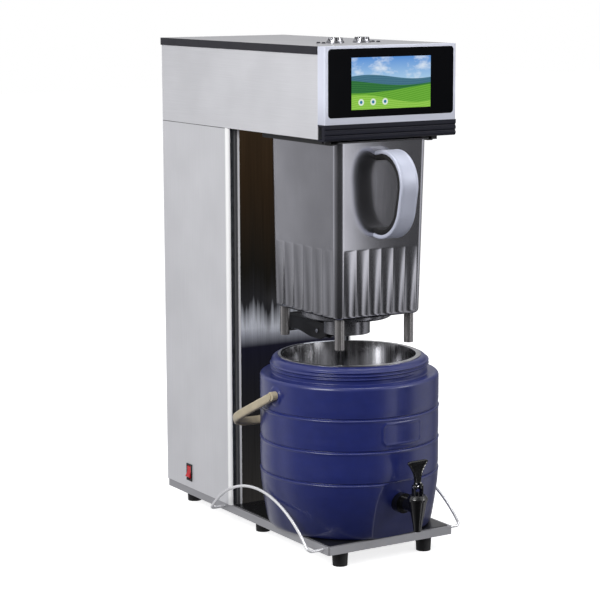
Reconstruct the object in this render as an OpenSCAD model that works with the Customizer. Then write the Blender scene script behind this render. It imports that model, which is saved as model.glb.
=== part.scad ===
// Immersion tea brewer with a hanging brewing container and an insulated bucket.
// Origin on the table under the middle of the tray. The front faces -Y and +Z is up.

/* [Machine] */
// Width over the side panels
body_w = 256; // [248:1:264]
// Depth from the fascia's face to the back panel's face
body_d = 548; // [540:1:560]
// Height of the head's underside above the table
head_z = 709; // [704:1:716]
// Height of the head from its underside to its top
head_h = 148; // [144:1:156]
// Depth of the column behind the brewing bay
column_d = 235; // [232:1:238]
// Thickness of the sheet panels
sheet_t = 2; // [1.5:0.25:2.5]
// Outer bend radius of the column's front corners
fold_r = 6; // [5:0.5:8]
// Side of the square chassis tubes
post_w = 14; // [12:1:15]
// Depth of the groove beside the column's front panel
groove_d = 6; // [4:0.5:8]
// Width of the groove beside the column's front panel
groove_w = 9; // [7:0.5:10]
// Width of the side folds of the column's front panel
lip_w = 2.4; // [2:0.2:3]

/* [Tray] */
// Distance of the tray's sides inside the side panels' faces
tray_in = 3; // [2:0.5:6]
// Length of the tray, front to back
tray_l = 556; // [548:1:566]
// Height of the tray's folded edge
tray_edge = 14; // [12:1:18]
// Corner radius of the tray
tray_r = 4; // [2:0.5:8]
// Thickness of the black inlay sheet
inlay_t = 1; // [0.8:0.1:1.5]
// Margin of bare tray round the inlay
inlay_margin = 5; // [4:0.5:8]
// Visible height of the feet
foot_h = 28; // [24:1:34]
// Diameter of a foot at its top
foot_d = 28; // [24:1:32]
// Diameter of a foot at the table
foot_base_d = 25; // [20:1:26]
// Distance of the feet's axes from the tray's sides
foot_inset = 40.5; // [36:0.5:46]
// Distance between the rows of feet
foot_pitch = 250; // [240:1:256]

/* [Guard wires] */
// Diameter of the wire
wire_d = 5; // [4:0.5:6]
// Distance of the wire's middle from the bucket's foot
wire_gap = 5.5; // [4.5:0.5:9]
// Length between the bow's ends
wire_span = 316; // [290:1:330]
// Half of the bow's sweep in degrees
wire_sweep = 45; // [40:1:48]
// Bend radius at the wire's ends
wire_bend = 8; // [6:0.5:10]
// Distance of the bow's middle in front of the origin
wire_y = 97; // [90:1:104]

/* [Fascia] */
// Depth of the fascia box
fascia_d = 21.5; // [20:0.5:25]
// Height of the fascia box
fascia_h = 124; // [122:1:128]
// Corner radius of the fascia's upright edges
fascia_r = 4; // [2:0.5:6]
// Width of the glass
glass_w = 244; // [236:1:246]
// Height of the glass
glass_h = 109.5; // [107:0.5:112]
// Corner radius of the glass
glass_r = 6; // [4:0.5:8]
// Thickness of the glass
glass_t = 3; // [2.5:0.5:4]
// Silver strip above the glass
glass_top_gap = 4; // [3:0.5:6]
// Ledge that the glass sits on
glass_ledge = 3.5; // [2:0.5:4]
// Width of the screen module
screen_w = 165; // [160:1:170]
// Height of the screen module
screen_h = 100; // [96:1:102]
// Thickness of the screen module
screen_t = 7; // [5:0.5:8]
// Height of the plastic lip under the fascia
front_lip_h = 26.5; // [24:0.5:27]
// Radius of the lip's lower edge
front_lip_r = 5; // [3:0.5:7]
// Radius of the lip's two grooves
lip_groove_r = 2.2; // [1.5:0.1:3]

/* [Top] */
// Height of the dark edging strip
rim_h = 13; // [10:0.5:16]
// Overhang of the edging strip
rim_out = 1.5; // [1:0.25:2.5]
// Diameter of a vent's base
vent_d = 31; // [28:0.5:34]
// Height of a vent's base
vent_base_h = 3.5; // [3:0.25:5]
// Diameter of a vent's grille
vent_cap_d = 27; // [24:0.5:27]
// Height of a vent's grille
vent_cap_h = 5.5; // [4:0.25:7]
// Distance between the vents
vent_pitch = 53; // [48:1:60]
// Distance of the vents in front of the origin
vent_y = 146; // [120:1:170]
// Distance of the cover's screws beside the middle
cover_screw_x = 54; // [50:1:70]

/* [Screws] */
// Diameter of a screw's shank
screw_d = 4; // [3.5:0.1:4.5]
// Diameter of a screw's head
screw_head_d = 7.5; // [7:0.1:9]
// Height of a screw's head
screw_head_h = 2.4; // [2:0.1:3]
// Clearance of a screw in its hole, on the radius
screw_gap = 0.2; // [0.1:0.05:0.3]

/* [Rails and container] */
// Clear height between the head and the container's runners
rail_drop = 6.5; // [6:0.25:8]
// Thickness of a rail's sheet
rail_t = 2.2; // [2:0.1:2.6]
// Length of a rail
rail_l = 212; // [200:1:214]
// Running gap of the runners on the rails
rail_gap = 0.3; // [0.25:0.05:0.5]
// Width of the container's runner plate
runner_w = 196; // [194:0.5:198]
// Thickness of the container's runner plate
runner_t = 2.5; // [2:0.25:3]
// Width of the container at its top
cont_w = 178; // [174:1:180]
// Depth of the container at its top
cont_d = 211; // [205:1:213]
// Height of the container's body
cont_h = 292; // [284:1:294]
// Distance of the container behind the fascia's face
cont_set = 25; // [23:0.5:28]
// Inward lean of each side over the body's height
side_draft = 5; // [3:0.5:6]
// Inward lean of the front over the body's height
front_draft = 8; // [5:0.5:9]
// Radius of the container's upright corners
cont_r = 13; // [11:0.5:14]
// Radius of the container's bottom edge
cont_edge_r = 8; // [6:0.5:8]
// Thickness of the container's wall
cont_t = 1.5; // [1.25:0.25:2]
// Flutes on each face of the container
flute_n = 6; // [5:1:7]
// Depth of a flute at the container's bottom
flute_depth = 3.4; // [2.5:0.1:3.6]
// Height of the flutes
flute_h = 117; // [100:1:125]
// Diameter of a container leg
leg_d = 16; // [14:0.5:18]
// Length of a container leg
leg_l = 50; // [44:1:50]
// Distance of the legs from the container's middle
leg_x = 69; // [64:0.5:69]
// Distance of the front legs before the outlet
leg_front = 84; // [80:1:86]
// Distance of the back legs behind the outlet
leg_back = 89; // [85:1:90]

/* [Outlet] */
// Distance of the outlet in front of the origin
outlet_y = 141; // [139:0.5:143]
// Radius of the dish under the container
dish_r = 76; // [74:0.5:77]
// Depth of the dish
dish_h = 11; // [10:0.5:12]
// Outer radius of the outlet ring
ring_r = 39.3; // [38:0.1:41]
// Wall of the outlet ring
ring_t = 3.3; // [2.5:0.1:4]
// Height of the outlet ring
ring_h = 28; // [27:0.5:29]
// Radius of the drain hole
drain_r = 22; // [20:0.5:24]
// Radius of the plunger's disc
plunger_r = 27; // [25:0.5:30]
// Radius of the plunger's stem
stem_r = 3; // [2.5:0.25:3.5]
// Running clearance of pins and stems, on the radius
fit_gap = 0.06; // [0.04:0.01:0.08]
// Lift of the plunger
plunger_lift = 8; // [6:0.25:8]

/* [Container handle] */
// Width of the strap
strap_w = 34; // [30:1:38]
// Thickness of the strap
strap_t = 7; // [6:0.5:8]
// Thickness of the grip inside the strap
grip_t = 9; // [7:0.5:10]
// Reach of the handle before the container
handle_reach = 80; // [74:1:84]
// Height of the handle's top above the container's bottom
handle_top = 281; // [275:1:283]
// Height of the handle's bottom above the container's bottom
handle_bottom = 134; // [130:1:140]

/* [Bucket] */
// Radius of the bucket
bucket_r = 152; // [150:0.5:152]
// Height of the bucket
bucket_h = 291; // [284:1:294]
// Distance of the bucket's axis in front of the origin
bucket_y = 148.5; // [147:0.5:151]
// Turn of the bucket on the tray in degrees
bucket_turn = 3; // [0:0.5:5]
// Height of the shoulder above the bucket's bottom
shoulder_h = 261; // [255:0.5:264]
// Radius of the neck
neck_r = 132.5; // [130:0.5:134]
// Reach of the thread's ridges beyond the neck
thread_h = 2.5; // [1.5:0.25:3]
// Radius of the mouth
mouth_r = 113; // [108:0.5:116]
// Wall of the plastic shell
shell_t = 3; // [2.5:0.25:4]
// Gap round the foam filling
foam_gap = 0.5; // [0.3:0.1:0.8]
// Wall of the steel liner
liner_t = 1.2; // [1:0.1:2]
// Thickness of the insulated floor
floor_t = 34; // [28:0.5:40]
// Height of the lowest groove above the bucket's bottom
groove_z = 98; // [95:0.5:101]
// Distance between the grooves
groove_pitch = 54.5; // [50:0.5:56]
// Depth of a groove
groove_cut = 1.8; // [1:0.1:2.2]
// Radius of the bucket beside the guard wires
belly_r = 147.5; // [147:0.5:148]
// Radius of the bucket's bottom
bottom_r = 134; // [132:0.5:136]
// Half the width of the flat under the lowest groove
flat_half = 32; // [28:0.5:34]
// Lean of the flat from the vertical, in degrees
flat_lean = 10.2; // [9:0.1:11]

/* [Bail] */
// Height of the bail's pivot above the bucket's bottom
pivot_h = 234; // [230:0.5:238]
// Radius of the bail's boss
boss_r = 15; // [13:0.5:17]
// Reach of the boss beyond the bucket
boss_out = 2.5; // [2:0.25:3]
// Thickness of the bail across its plane
bail_t = 10; // [8:0.5:11]
// Height of the bail's section
bail_h = 15; // [13:0.5:16]
// Reach of the bail's middle line
bail_reach = 178; // [176:0.5:179]
// Radius of the bail's corners
bail_r = 78; // [70:1:84]
// Angle of the bail below the level at rest
bail_tilt = 26; // [25.5:0.5:30]
// Radius of a bail pin
bail_pin_r = 4; // [3.5:0.25:4.5]

/* [Tap] */
// Distance of the tap's axis from the bucket's axis
tap_reach = 190; // [188:0.5:194]
// Height of the tap's inlet above the bucket's bottom
tap_h = 61; // [59:0.5:63]
// Radius of the tap's cup at its rim
cup_r = 17; // [16:0.5:18]
// Height of the cup above the inlet
cup_up = 16; // [15:0.5:18]
// Length of the cup and spout below the inlet
cup_down = 40; // [36:0.5:42]
// Radius of the spout
spout_r = 6.5; // [6:0.25:7.5]
// Radius of the inlet shank
shank_r = 11; // [10:0.25:12]
// Radius of the inlet collar
collar_r = 17; // [16:0.5:18]
// Width of the lever's paddle
lever_w = 38; // [34:1:42]
// Length of the lever above its pivot
lever_l = 46; // [42:1:50]
// Height of the lever's pivot above the cup
pivot_up = 20; // [19:0.5:22]
// Lift of the tap's stem
stem_lift = 6; // [5:0.25:6]

/* [Switch] */
// Width of the switch's bezel
switch_w = 19; // [17:0.5:21]
// Height of the switch's bezel
switch_h = 31; // [30:0.5:34]
// Distance of the switch behind the origin
switch_y = 188; // [180:1:196]
// Height of the switch above the tray
switch_up = 29.5; // [27:0.5:34]
// Radius of the rocker's ends about its pivot
rocker_r = 12.4; // [11.5:0.1:12.5]
// Lean of the rocker each way in degrees
rocker_tilt = 12; // [9:0.5:13]

/* [Water system] */
// Radius of the boiler
boiler_r = 75; // [70:1:76]
// Height of the boiler
boiler_h = 318; // [300:1:330]
// Distance of the boiler's axis behind the origin
boiler_y = 165; // [160:1:168]
// Height of the shelf above the tray
shelf_up = 147; // [140:1:160]
// Radius of the water pipes
pipe_r = 6; // [5:0.25:7]
// Bore radius of the water pipes
pipe_bore = 4.5; // [4:0.25:4.75]
// Height of the pipes in the head above its underside
pipe_up = 51; // [45:1:60]
// Radius of the inlet's thread
inlet_r = 13.1; // [12:0.1:14]
// Length of the inlet's thread
inlet_l = 16; // [14:0.5:20]
// Distance of the inlet from the middle
inlet_x = 45; // [40:1:50]
// Height of the inlet above the tray
inlet_up = 78; // [70:1:84]
// Radius of the spray head
spray_r = 36; // [30:1:40]
// Thickness of the spray head below the head's floor
spray_t = 4.5; // [4:0.25:5]

/* [Hidden] */
fine = 64;
coarse = 32;
eps = 0.01;
front_y = -body_d / 2;
back_y = body_d / 2;
half_w = body_w / 2;
inner_w = half_w - sheet_t;
tray_w = body_w - 2 * tray_in;
column_y = back_y - column_d;
top_z = head_z + head_h;
tray_z = foot_h + tray_edge;
panel_y = front_y + fascia_d;
wall_y = back_y - sheet_t;
post_x = inner_w - post_w;
post_front = column_y + groove_d;
head_floor = head_z + sheet_t;
head_roof = top_z - sheet_t;
plate_x = half_w - fold_r - groove_w;
shelf_z = tray_z + shelf_up;
shelf_t = 3;

fascia_z = top_z - fascia_h;
glass_z = top_z - glass_top_gap - glass_h / 2;
fascia_wall = 3;

rail_top = head_z - rail_drop;
runner_z = rail_top - runner_t;
rail_lip_z = runner_z - rail_gap - rail_t;
rail_in = runner_w / 2 + 0.8;
rail_edge = cont_w / 2 + 2.5;
rail_back = -38 + 4;

cont_top = runner_z;
cont_z = cont_top - cont_h;
cont_front = front_y + cont_set;
cont_back = cont_front + cont_d;
foot_half = cont_w / 2 - side_draft;
foot_front = cont_front + front_draft;
foot_mid = (foot_front + cont_back) / 2;
dish_z = cont_z - dish_h;
dish_t = 2;
ring_z = dish_z - ring_h;
seat_z = dish_z + dish_t;
seal_t = 1.7;
disc_t = 3;
disc_z = seat_z + seal_t;
spider_z = ring_z + 23;
spider_t = 3;
stem_foot_t = 3;
stem_foot_r = 8;
stem_foot_z = ring_z + 10;
strainer_t = 1.5;
strainer_z = cont_z + cont_t;
cap_h = 20;
cap_t = 1.8;
cap_r = plunger_r + cap_t + 2.2;
drain_spring_r = 7;
drain_spring_wire = 1;

arm_y = -66;
arm_z = ring_z - 8;
arm_half = 5;
arm_pin_r = 2;
nose_r = 3.5;
nose_z = stem_foot_z - 0.3 - nose_r;
tail_l = 10;
tail_r = 3;
cheek_in = 8;
cheek_out = 11;
bracket_z = arm_z - 14;
bracket_top = arm_z + 15;
bracket_front = -90;
rod_z = arm_z - tail_l;
rod_r = 2;
solenoid_half = 20;
solenoid_d = 42;

bucket_z = tray_z + inlay_t;
rim_z = bucket_z + bucket_h;
shoulder_z = bucket_z + shoulder_h;
neck_top = rim_z - 1.5;
liner_r = mouth_r + liner_t;
liner_z = bucket_z + floor_t;
flat_r = sqrt(bucket_r * bucket_r - flat_half * flat_half);
flat_top = bucket_z + groove_z;
inlet_z = bucket_z + tap_h;
bail_x = bucket_r + boss_out + bail_t / 2 + 0.5;
bail_z = bucket_z + pivot_h;

cup_top = inlet_z + cup_up;
cup_bottom = inlet_z - cup_down;
cup_wall = 2.6;
seat_bottom = inlet_z - 22;
plug_r = 8;
plug_z = seat_bottom + 6.4;
plug_t = 7;
tap_stem_r = 2.5;
lever_pivot = cup_top + pivot_up;
bonnet_t = 6;
tap_pin_r = 2;
hub_r = 5;
ear_in = 6.4;
ear_out = 9.4;
stem_top = lever_pivot - tap_pin_r - stem_lift - 1;
tap_spring_r = 5.5;
tap_spring_wire = 0.9;

switch_z = tray_z + switch_up;
rocker_x = -half_w + 4;
rocker_w = 13;
switch_body_w = 15;
switch_body_h = 27;
switch_depth = 20;
bezel_t = 2;
trunnion_r = 1.3;

boiler_z = shelf_z + shelf_t + 11;
boiler_top = boiler_z + boiler_h;
boiler_wall = 1.5;
lid_t = 4;
flange_r = boiler_r + 8;
stub_h = 8;
pipe_z = head_z + pipe_up;
valve_y = 20;
valve_half = 20;
valve_hgt = 15;
inlet_z0 = tray_z + inlet_up;
inlet_valve_d = 47;
inlet_gap = 10;
rod_x = 20;
heater_r = 4;
heater_y = 18;
board_z = head_z - 139;
board_w = 140;
board_h = 120;
board_edge = 8;
gland_x = 60;

// Helpers: places, rounded plates and swept wires

// Box from its low corner to its high corner
module span(lo, hi) translate(lo) cube(hi - lo);

// Mirrored pair across the middle plane
module both_sides() { children(); mirror([1, 0, 0]) children(); }

// Cylinder along Y that starts at y0 and runs backwards
module y_rod(x, y0, z, l, r) translate([x, y0, z]) rotate([-90, 0, 0]) cylinder(h = l, r = r, $fn = fine);

// Cylinder along X, centred on x
module x_rod(x, y, z, l, r) translate([x, y, z]) rotate([0, 90, 0])
    cylinder(h = l, r = r, center = true, $fn = fine);

// Rounded rectangle on the middle of the plane
module round_rect(w, h, r) {
    square([w - 2 * r, h], center = true);
    square([w, h - 2 * r], center = true);
    for (sx = [-1, 1], sy = [-1, 1])
        translate([sx * (w / 2 - r), sy * (h / 2 - r)]) circle(r = r, $fn = fine);
}

// Outline in the X-Z plane, extruded backwards from y0
module from_front(y0, t) translate([0, y0, 0]) rotate([90, 0, 0]) mirror([0, 0, 1])
    linear_extrude(t) children();

// Outline in the Y-Z plane, extruded along X and centred
module across(w) rotate([90, 0, 90]) linear_extrude(w, center = true) children();

// Everything that stands on the tray with the bucket
module on_bucket() translate([0, -bucket_y, 0]) rotate([0, 0, bucket_turn]) children();

// Points of an arc, from angle a0 to a1
function arc(cx, cy, r, a0, a1, n) =
    [for (i = [0:n]) let (a = a0 + (a1 - a0) * i / n) [cx + r * cos(a), cy + r * sin(a)]];

// Closed tube along a helix of n turns, from z0 up to z0 + l
module helix(r, wire, z0, l, n) {
    steps = 12;
    sides = 6;
    rings = n * steps;
    pts = [for (i = [0:rings]) for (j = [0:sides - 1])
        let (a = 360 * i / steps, b = 360 * j / sides, q = r + wire * cos(b))
        [q * cos(a), q * sin(a), z0 + wire + (l - 2 * wire) * i / rings + wire * sin(b)]];
    skin = [for (i = [0:rings - 1]) for (j = [0:sides - 1])
        let (k = (j + 1) % sides, a = i * sides) each [
            [a + j, a + k, a + sides + k], [a + j, a + sides + k, a + sides + j]]];
    ends = [for (j = [1:sides - 2]) each [
        [0, j + 1, j], [rings * sides, rings * sides + j, rings * sides + j + 1]]];
    polyhedron(points = pts, faces = concat(skin, ends), convexity = 4);
}

// Pan-head screw, its shank pointing down from the origin
module screw(l) {
    cylinder(h = screw_head_h, d1 = screw_head_d, d2 = screw_head_d * 0.7, $fn = coarse);
    translate([0, 0, -l]) cylinder(h = l + eps, d = screw_d, $fn = coarse);
}
screw_hole_r = screw_d / 2 + screw_gap;

// Tray and feet

foot_x = tray_w / 2 - foot_inset;

// Three feet along each side and one under the middle
module foot_places() {
    for (sx = [-1, 1], row = [-1:1]) translate([sx * foot_x, row * foot_pitch, 0]) children();
    children();
}

stub_z = foot_h + tray_edge / 2;
bow_r = wire_span / 2 / sin(wire_sweep);
bow_end_z = stub_z + wire_bend * sin(wire_sweep);
stub_y = wire_span / 2 + wire_bend * cos(wire_sweep);
wire_x = belly_r + wire_gap;
wire_out = wire_x - tray_w / 2;

module base_pan() color([0.8, 0.81, 0.83]) difference() {
    translate([0, 0, foot_h]) linear_extrude(tray_edge) round_rect(tray_w, tray_l, tray_r);
    translate([0, 0, foot_h - 1]) linear_extrude(tray_edge + 1 - sheet_t)
        round_rect(tray_w - 2 * sheet_t, tray_l - 2 * sheet_t, tray_r - sheet_t + 0.5);
    for (s = [-1, 1]) x_rod(0, -wire_y + s * stub_y, stub_z, tray_w + 2, wire_d / 2 + fit_gap);
}

module tray_inlay() color([0.07, 0.07, 0.08]) translate([0, 0, tray_z]) linear_extrude(inlay_t)
    difference() {
        round_rect(tray_w - 2 * inlay_margin, tray_l - 2 * inlay_margin, tray_r);
        translate([-tray_w, column_y - 0.5]) square([2 * tray_w, tray_l]);
    }

module feet() color([0.11, 0.11, 0.12]) foot_places() {
    cylinder(h = foot_h, d1 = foot_base_d, d2 = foot_d, $fn = fine);
    cylinder(h = tray_z - sheet_t, d = foot_base_d - 6, $fn = fine);
}

// One wire on the -X side: a bow in a plane along Y, bent inwards at both ends
module guard_wire() {
    r = wire_d / 2;
    translate([-wire_x, -wire_y, bow_end_z - bow_r * cos(wire_sweep)]) rotate([90, 0, 90])
        rotate_extrude(angle = 2 * wire_sweep, start = 90 - wire_sweep, $fn = fine * 1.5)
            translate([bow_r, 0]) circle(r = r, $fn = coarse);
    for (m = [0, 1]) translate([0, -wire_y, 0]) mirror([0, m, 0]) {
        translate([-wire_x + wire_bend, -wire_span / 2, bow_end_z]) rotate([wire_sweep, 0, 0])
            rotate_extrude(angle = 90, start = 180, $fn = fine) translate([wire_bend, 0])
                circle(r = r, $fn = coarse);
        translate([-wire_x + wire_bend, -stub_y, stub_z]) rotate([0, 90, 0])
            cylinder(h = wire_out - wire_bend + sheet_t + 6, r = r, $fn = coarse);
    }
}
module guard_wires() color([0.85, 0.86, 0.88]) both_sides() guard_wire();

// Chassis and panels

module chassis_bars(x0, y0, y1, z0, z1) {
    both_sides() {
        for (y = [y0, y1 - post_w]) span([x0, y, z0], [inner_w, y + post_w, z1]);
        for (z = [z0, z1 - post_w]) span([x0, y0, z], [inner_w, y1, z + post_w]);
    }
    for (y = [y0, y1 - post_w], z = [z0, z1 - post_w])
        span([-x0, y, z], [x0, y + post_w, z + post_w]);
}

module chassis() color([0.45, 0.46, 0.48]) {
    chassis_bars(post_x, post_front, wall_y, tray_z, head_z);
    difference() {
        span([-post_x, post_front, shelf_z], [post_x, wall_y, shelf_z + shelf_t]);
        translate([-inlet_x, boiler_y, shelf_z - 1]) cylinder(h = shelf_t + 2, r = pipe_r + 2, $fn = fine);
        for (x = [0, gland_x]) translate([x, wall_y - 60, shelf_z - 1])
            cylinder(h = shelf_t + 2, r = 14, $fn = fine);
    }
    chassis_bars(post_x, panel_y, wall_y, head_floor, head_roof);
}

// Side panel's plan on the +X side: a plate with its front edge rolled inwards
module side_plan() {
    span2([inner_w, column_y + fold_r], [half_w, back_y]);
    translate([half_w - fold_r, column_y + fold_r]) intersection() {
        difference() {
            circle(r = fold_r, $fn = fine);
            circle(r = fold_r - sheet_t, $fn = fine);
        }
        translate([0, -fold_r]) square(fold_r);
    }
}
module span2(lo, hi) translate(lo) square(hi - lo);

module column_sides() color([0.8, 0.8, 0.82]) difference() {
    translate([0, 0, tray_z]) linear_extrude(head_z - tray_z) both_sides() side_plan();
    span([-half_w - 1, switch_y - switch_body_w / 2 - 0.1, switch_z - switch_body_h / 2 - 0.1],
         [-inner_w + 1, switch_y + switch_body_w / 2 + 0.1, switch_z + switch_body_h / 2 + 0.1]);
}

// Screws of the drain bracket's flange on the column's front
bracket_screw_x = 17;
module bracket_screw_places() for (x = [-1, 1], z = [bracket_z + 4, bracket_top - 4])
    translate([x * bracket_screw_x, column_y - sheet_t - 1, z]) rotate([90, 0, 0]) children();

module column_front() color([0.12, 0.11, 0.12]) difference() {
    translate([0, 0, tray_z]) linear_extrude(head_z - tray_z) {
        span2([-plate_x, column_y], [plate_x, column_y + sheet_t]);
        for (s = [-1, 1]) translate([s * (plate_x - lip_w / 2), column_y + groove_d / 2])
            square([lip_w, groove_d], center = true);
    }
    y_rod(0, column_y - 1, rod_z, sheet_t + 2, rod_r + 1);
    bracket_screw_places() translate([0, 0, -9]) cylinder(h = 12, r = screw_hole_r, $fn = coarse);
}

// Screws of the back panel, in two columns
module back_screw_places() for (s = [-1, 1], i = [0:4])
    translate([s * (inner_w - post_w / 2), back_y, tray_z + 20 + i * (head_roof - tray_z - 40) / 4])
        rotate([-90, 0, 0]) children();

module back_panel() color([0.78, 0.78, 0.8]) difference() {
    span([-inner_w, wall_y, tray_z], [inner_w, back_y, head_roof]);
    y_rod(-inlet_x, wall_y - 1, inlet_z0, sheet_t + 2, inlet_r + 0.4);
    y_rod(gland_x, wall_y - 1, inlet_z0, sheet_t + 2, 8.3);
    for (i = [0:6], s = [-1, 1]) translate([s * 45, back_y, head_z + 40 + i * 12])
        from_front(-sheet_t - 1, sheet_t + 2) round_rect(64, 5, 2.4);
    back_screw_places() translate([0, 0, -sheet_t - 1])
        cylinder(h = sheet_t + 2, r = screw_hole_r, $fn = coarse);
}

module head_sides() color([0.8, 0.8, 0.82]) both_sides()
    span([inner_w, panel_y, head_z], [half_w, back_y, head_roof]);

module head_bottom() color([0.2, 0.2, 0.21]) difference() {
    span([-inner_w, panel_y, head_z], [inner_w, wall_y, head_floor]);
    translate([0, -outlet_y, head_z - 1]) cylinder(h = sheet_t + 2, r = spray_neck_r + 0.3, $fn = fine);
    translate([0, boiler_y, head_z - 1]) cylinder(h = sheet_t + 2, r = pipe_r + 1.5, $fn = fine);
    translate([gland_x, boiler_y, head_z - 1]) cylinder(h = sheet_t + 2, r = 12, $fn = fine);
}

module vent_places() for (s = [-1, 1]) translate([s * vent_pitch / 2, -vent_y, top_z]) children();
module cover_screw_places() for (s = [-1, 1], t = [-1, 1])
    translate([s * cover_screw_x, -vent_y + t * 8, top_z]) children();

module top_cover() color([0.82, 0.82, 0.84]) difference() {
    span([-half_w, panel_y, head_roof], [half_w, back_y, top_z]);
    vent_places() translate([0, 0, -sheet_t - 1]) cylinder(h = sheet_t + 2, r = vent_cap_d / 2 - 4, $fn = fine);
    cover_screw_places() translate([0, 0, -sheet_t - 1])
        cylinder(h = sheet_t + 2, r = screw_hole_r, $fn = coarse);
}

module top_rim() color([0.22, 0.22, 0.24]) translate([0, 0, top_z - rim_h]) linear_extrude(rim_h)
    difference() {
        span2([-half_w - rim_out, panel_y], [half_w + rim_out, back_y + rim_out]);
        span2([-half_w, panel_y - 1], [half_w, back_y]);
    }

module panel_screws() color([0.3, 0.3, 0.32]) {
    cover_screw_places() screw(sheet_t);
    back_screw_places() screw(sheet_t);
    bracket_screw_places() screw(6);
}

// Steam vents

module vent_bases() color([0.8, 0.8, 0.82]) vent_places() difference() {
    cylinder(h = vent_base_h, d1 = vent_d, d2 = vent_d - 2, $fn = fine);
    translate([0, 0, -1]) cylinder(h = vent_base_h + 2, r = vent_cap_d / 2 - 5, $fn = fine);
}

module vent_grilles() color([0.1, 0.1, 0.1]) vent_places() translate([0, 0, vent_base_h]) difference() {
    cylinder(h = vent_cap_h, d1 = vent_cap_d, d2 = vent_cap_d - 3, $fn = fine);
    translate([0, 0, -1]) cylinder(h = vent_cap_h - 0.5, r = vent_cap_d / 2 - 3.5, $fn = fine);
    for (i = [-3:3]) translate([i * 3.2, 0, vent_cap_h - 1]) cube([1.6, vent_cap_d - 9, 3], center = true);
    for (a = [0:30:330]) rotate([0, 0, a]) translate([vent_cap_d / 2, 0, vent_cap_h * 0.45])
        cube([8, 2, vent_cap_h * 0.4], center = true);
}

// Touch screen and lip

window_w = glass_w - 2 * glass_ledge;
window_h = glass_h - 2 * glass_ledge;

module fascia_frame() color([0.8, 0.82, 0.87]) difference() {
    translate([0, 0, fascia_z]) linear_extrude(fascia_h) {
        span2([-half_w + fascia_r, front_y], [half_w - fascia_r, panel_y]);
        span2([-half_w, front_y + fascia_r], [half_w, panel_y]);
        for (s = [-1, 1]) translate([s * (half_w - fascia_r), front_y + fascia_r])
            circle(r = fascia_r, $fn = fine);
    }
    span([-half_w + fascia_wall, front_y + glass_t + 2.5, fascia_z + fascia_wall],
         [half_w - fascia_wall, panel_y + 1, top_z - fascia_wall]);
    translate([0, 0, glass_z]) from_front(front_y - 1, glass_t + 1) round_rect(glass_w, glass_h, glass_r);
    translate([0, 0, glass_z]) from_front(front_y, fascia_d) round_rect(window_w, window_h, glass_r - 2);
}

module glass_panel() color([0.05, 0.05, 0.06]) translate([0, 0, glass_z])
    from_front(front_y, glass_t) round_rect(glass_w - 0.4, glass_h - 0.4, glass_r - 0.2);

module lcd_module() color([0.25, 0.35, 0.6]) translate([0, 0, glass_z])
    from_front(front_y + glass_t, screen_t) round_rect(screen_w, screen_h, 1.5);

module display_board() color([0.1, 0.35, 0.2]) {
    y0 = front_y + glass_t + screen_t;
    translate([0, 0, glass_z]) from_front(y0, 1.6) round_rect(screen_w - 10, screen_h - 8, 2);
    for (p = [[-50, 20, 24, 18], [0, 0, 30, 30], [45, -18, 20, 26]])
        span([p[0] - p[2] / 2, y0 + 1.5, glass_z + p[1] - p[3] / 2],
             [p[0] + p[2] / 2, y0 + 4.5, glass_z + p[1] + p[3] / 2]);
}

module front_lip() color([0.15, 0.15, 0.2]) across(body_w) difference() {
    union() {
        span2([front_y, fascia_z - front_lip_h + front_lip_r], [panel_y, fascia_z]);
        span2([front_y + front_lip_r, fascia_z - front_lip_h], [panel_y, fascia_z]);
        translate([front_y + front_lip_r, fascia_z - front_lip_h + front_lip_r])
            circle(r = front_lip_r, $fn = fine);
    }
    for (i = [1, 2]) translate([front_y - 0.4, fascia_z - i * front_lip_h / 3])
        circle(r = lip_groove_r, $fn = coarse);
    span2([panel_y - 12, fascia_z - front_lip_h + 3], [panel_y + 1, fascia_z - 3]);
}

// Rails with their front hooks

module rail() {
    y0 = rail_back - rail_l;
    span([rail_in, y0, rail_lip_z], [rail_in + rail_t, rail_back, head_z]);
    span([rail_edge, y0, rail_lip_z], [rail_in + rail_t, rail_back, rail_lip_z + rail_t]);
    span([rail_in, y0, head_z - rail_t], [rail_in + 10, rail_back, head_z]);
    difference() {
        span([rail_in, y0, head_z - 10], [rail_in + 11, y0 + 14, head_z]);
        x_rod(rail_in + 7, y0 + 7, head_z - 6, 9, 2.5);
    }
}
module rails() color([0.1, 0.1, 0.11]) both_sides() rail();

// Water system

spray_neck_r = 10;
spray_neck_h = 20;
module spray_head() color([0.75, 0.76, 0.78]) translate([0, -outlet_y, head_z]) difference() {
    union() {
        translate([0, 0, -spray_t]) cylinder(h = spray_t, r1 = spray_r - 3, r2 = spray_r, $fn = fine);
        cylinder(h = spray_neck_h, r = spray_neck_r, $fn = fine);
    }
    translate([0, 0, -spray_t + 2]) cylinder(h = spray_neck_h + spray_t, r = pipe_bore, $fn = fine);
    translate([0, 0, -spray_t + 1.8]) cylinder(h = 1.6, r = spray_r - 8, $fn = fine);
    for (r = [8, 17, 25], a = [0:360 / round(r * 0.7):359]) rotate([0, 0, a])
        translate([r, 0, -spray_t - 1]) cylinder(h = 3.5, r = 1.1, $fn = 16);
}

module brew_valve() color([0.2, 0.2, 0.22]) {
    difference() {
        span([-valve_hgt, valve_y - valve_half, pipe_z - valve_hgt],
             [valve_hgt, valve_y + valve_half, pipe_z + valve_hgt]);
        y_rod(0, valve_y - valve_half - 1, pipe_z, 2 * valve_half + 2, pipe_bore);
    }
    translate([0, valve_y, pipe_z + valve_hgt]) cylinder(h = 26, r = 13, $fn = fine);
    translate([0, valve_y, head_floor]) cylinder(h = pipe_z - valve_hgt - head_floor, r = 6, $fn = fine);
}

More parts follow.
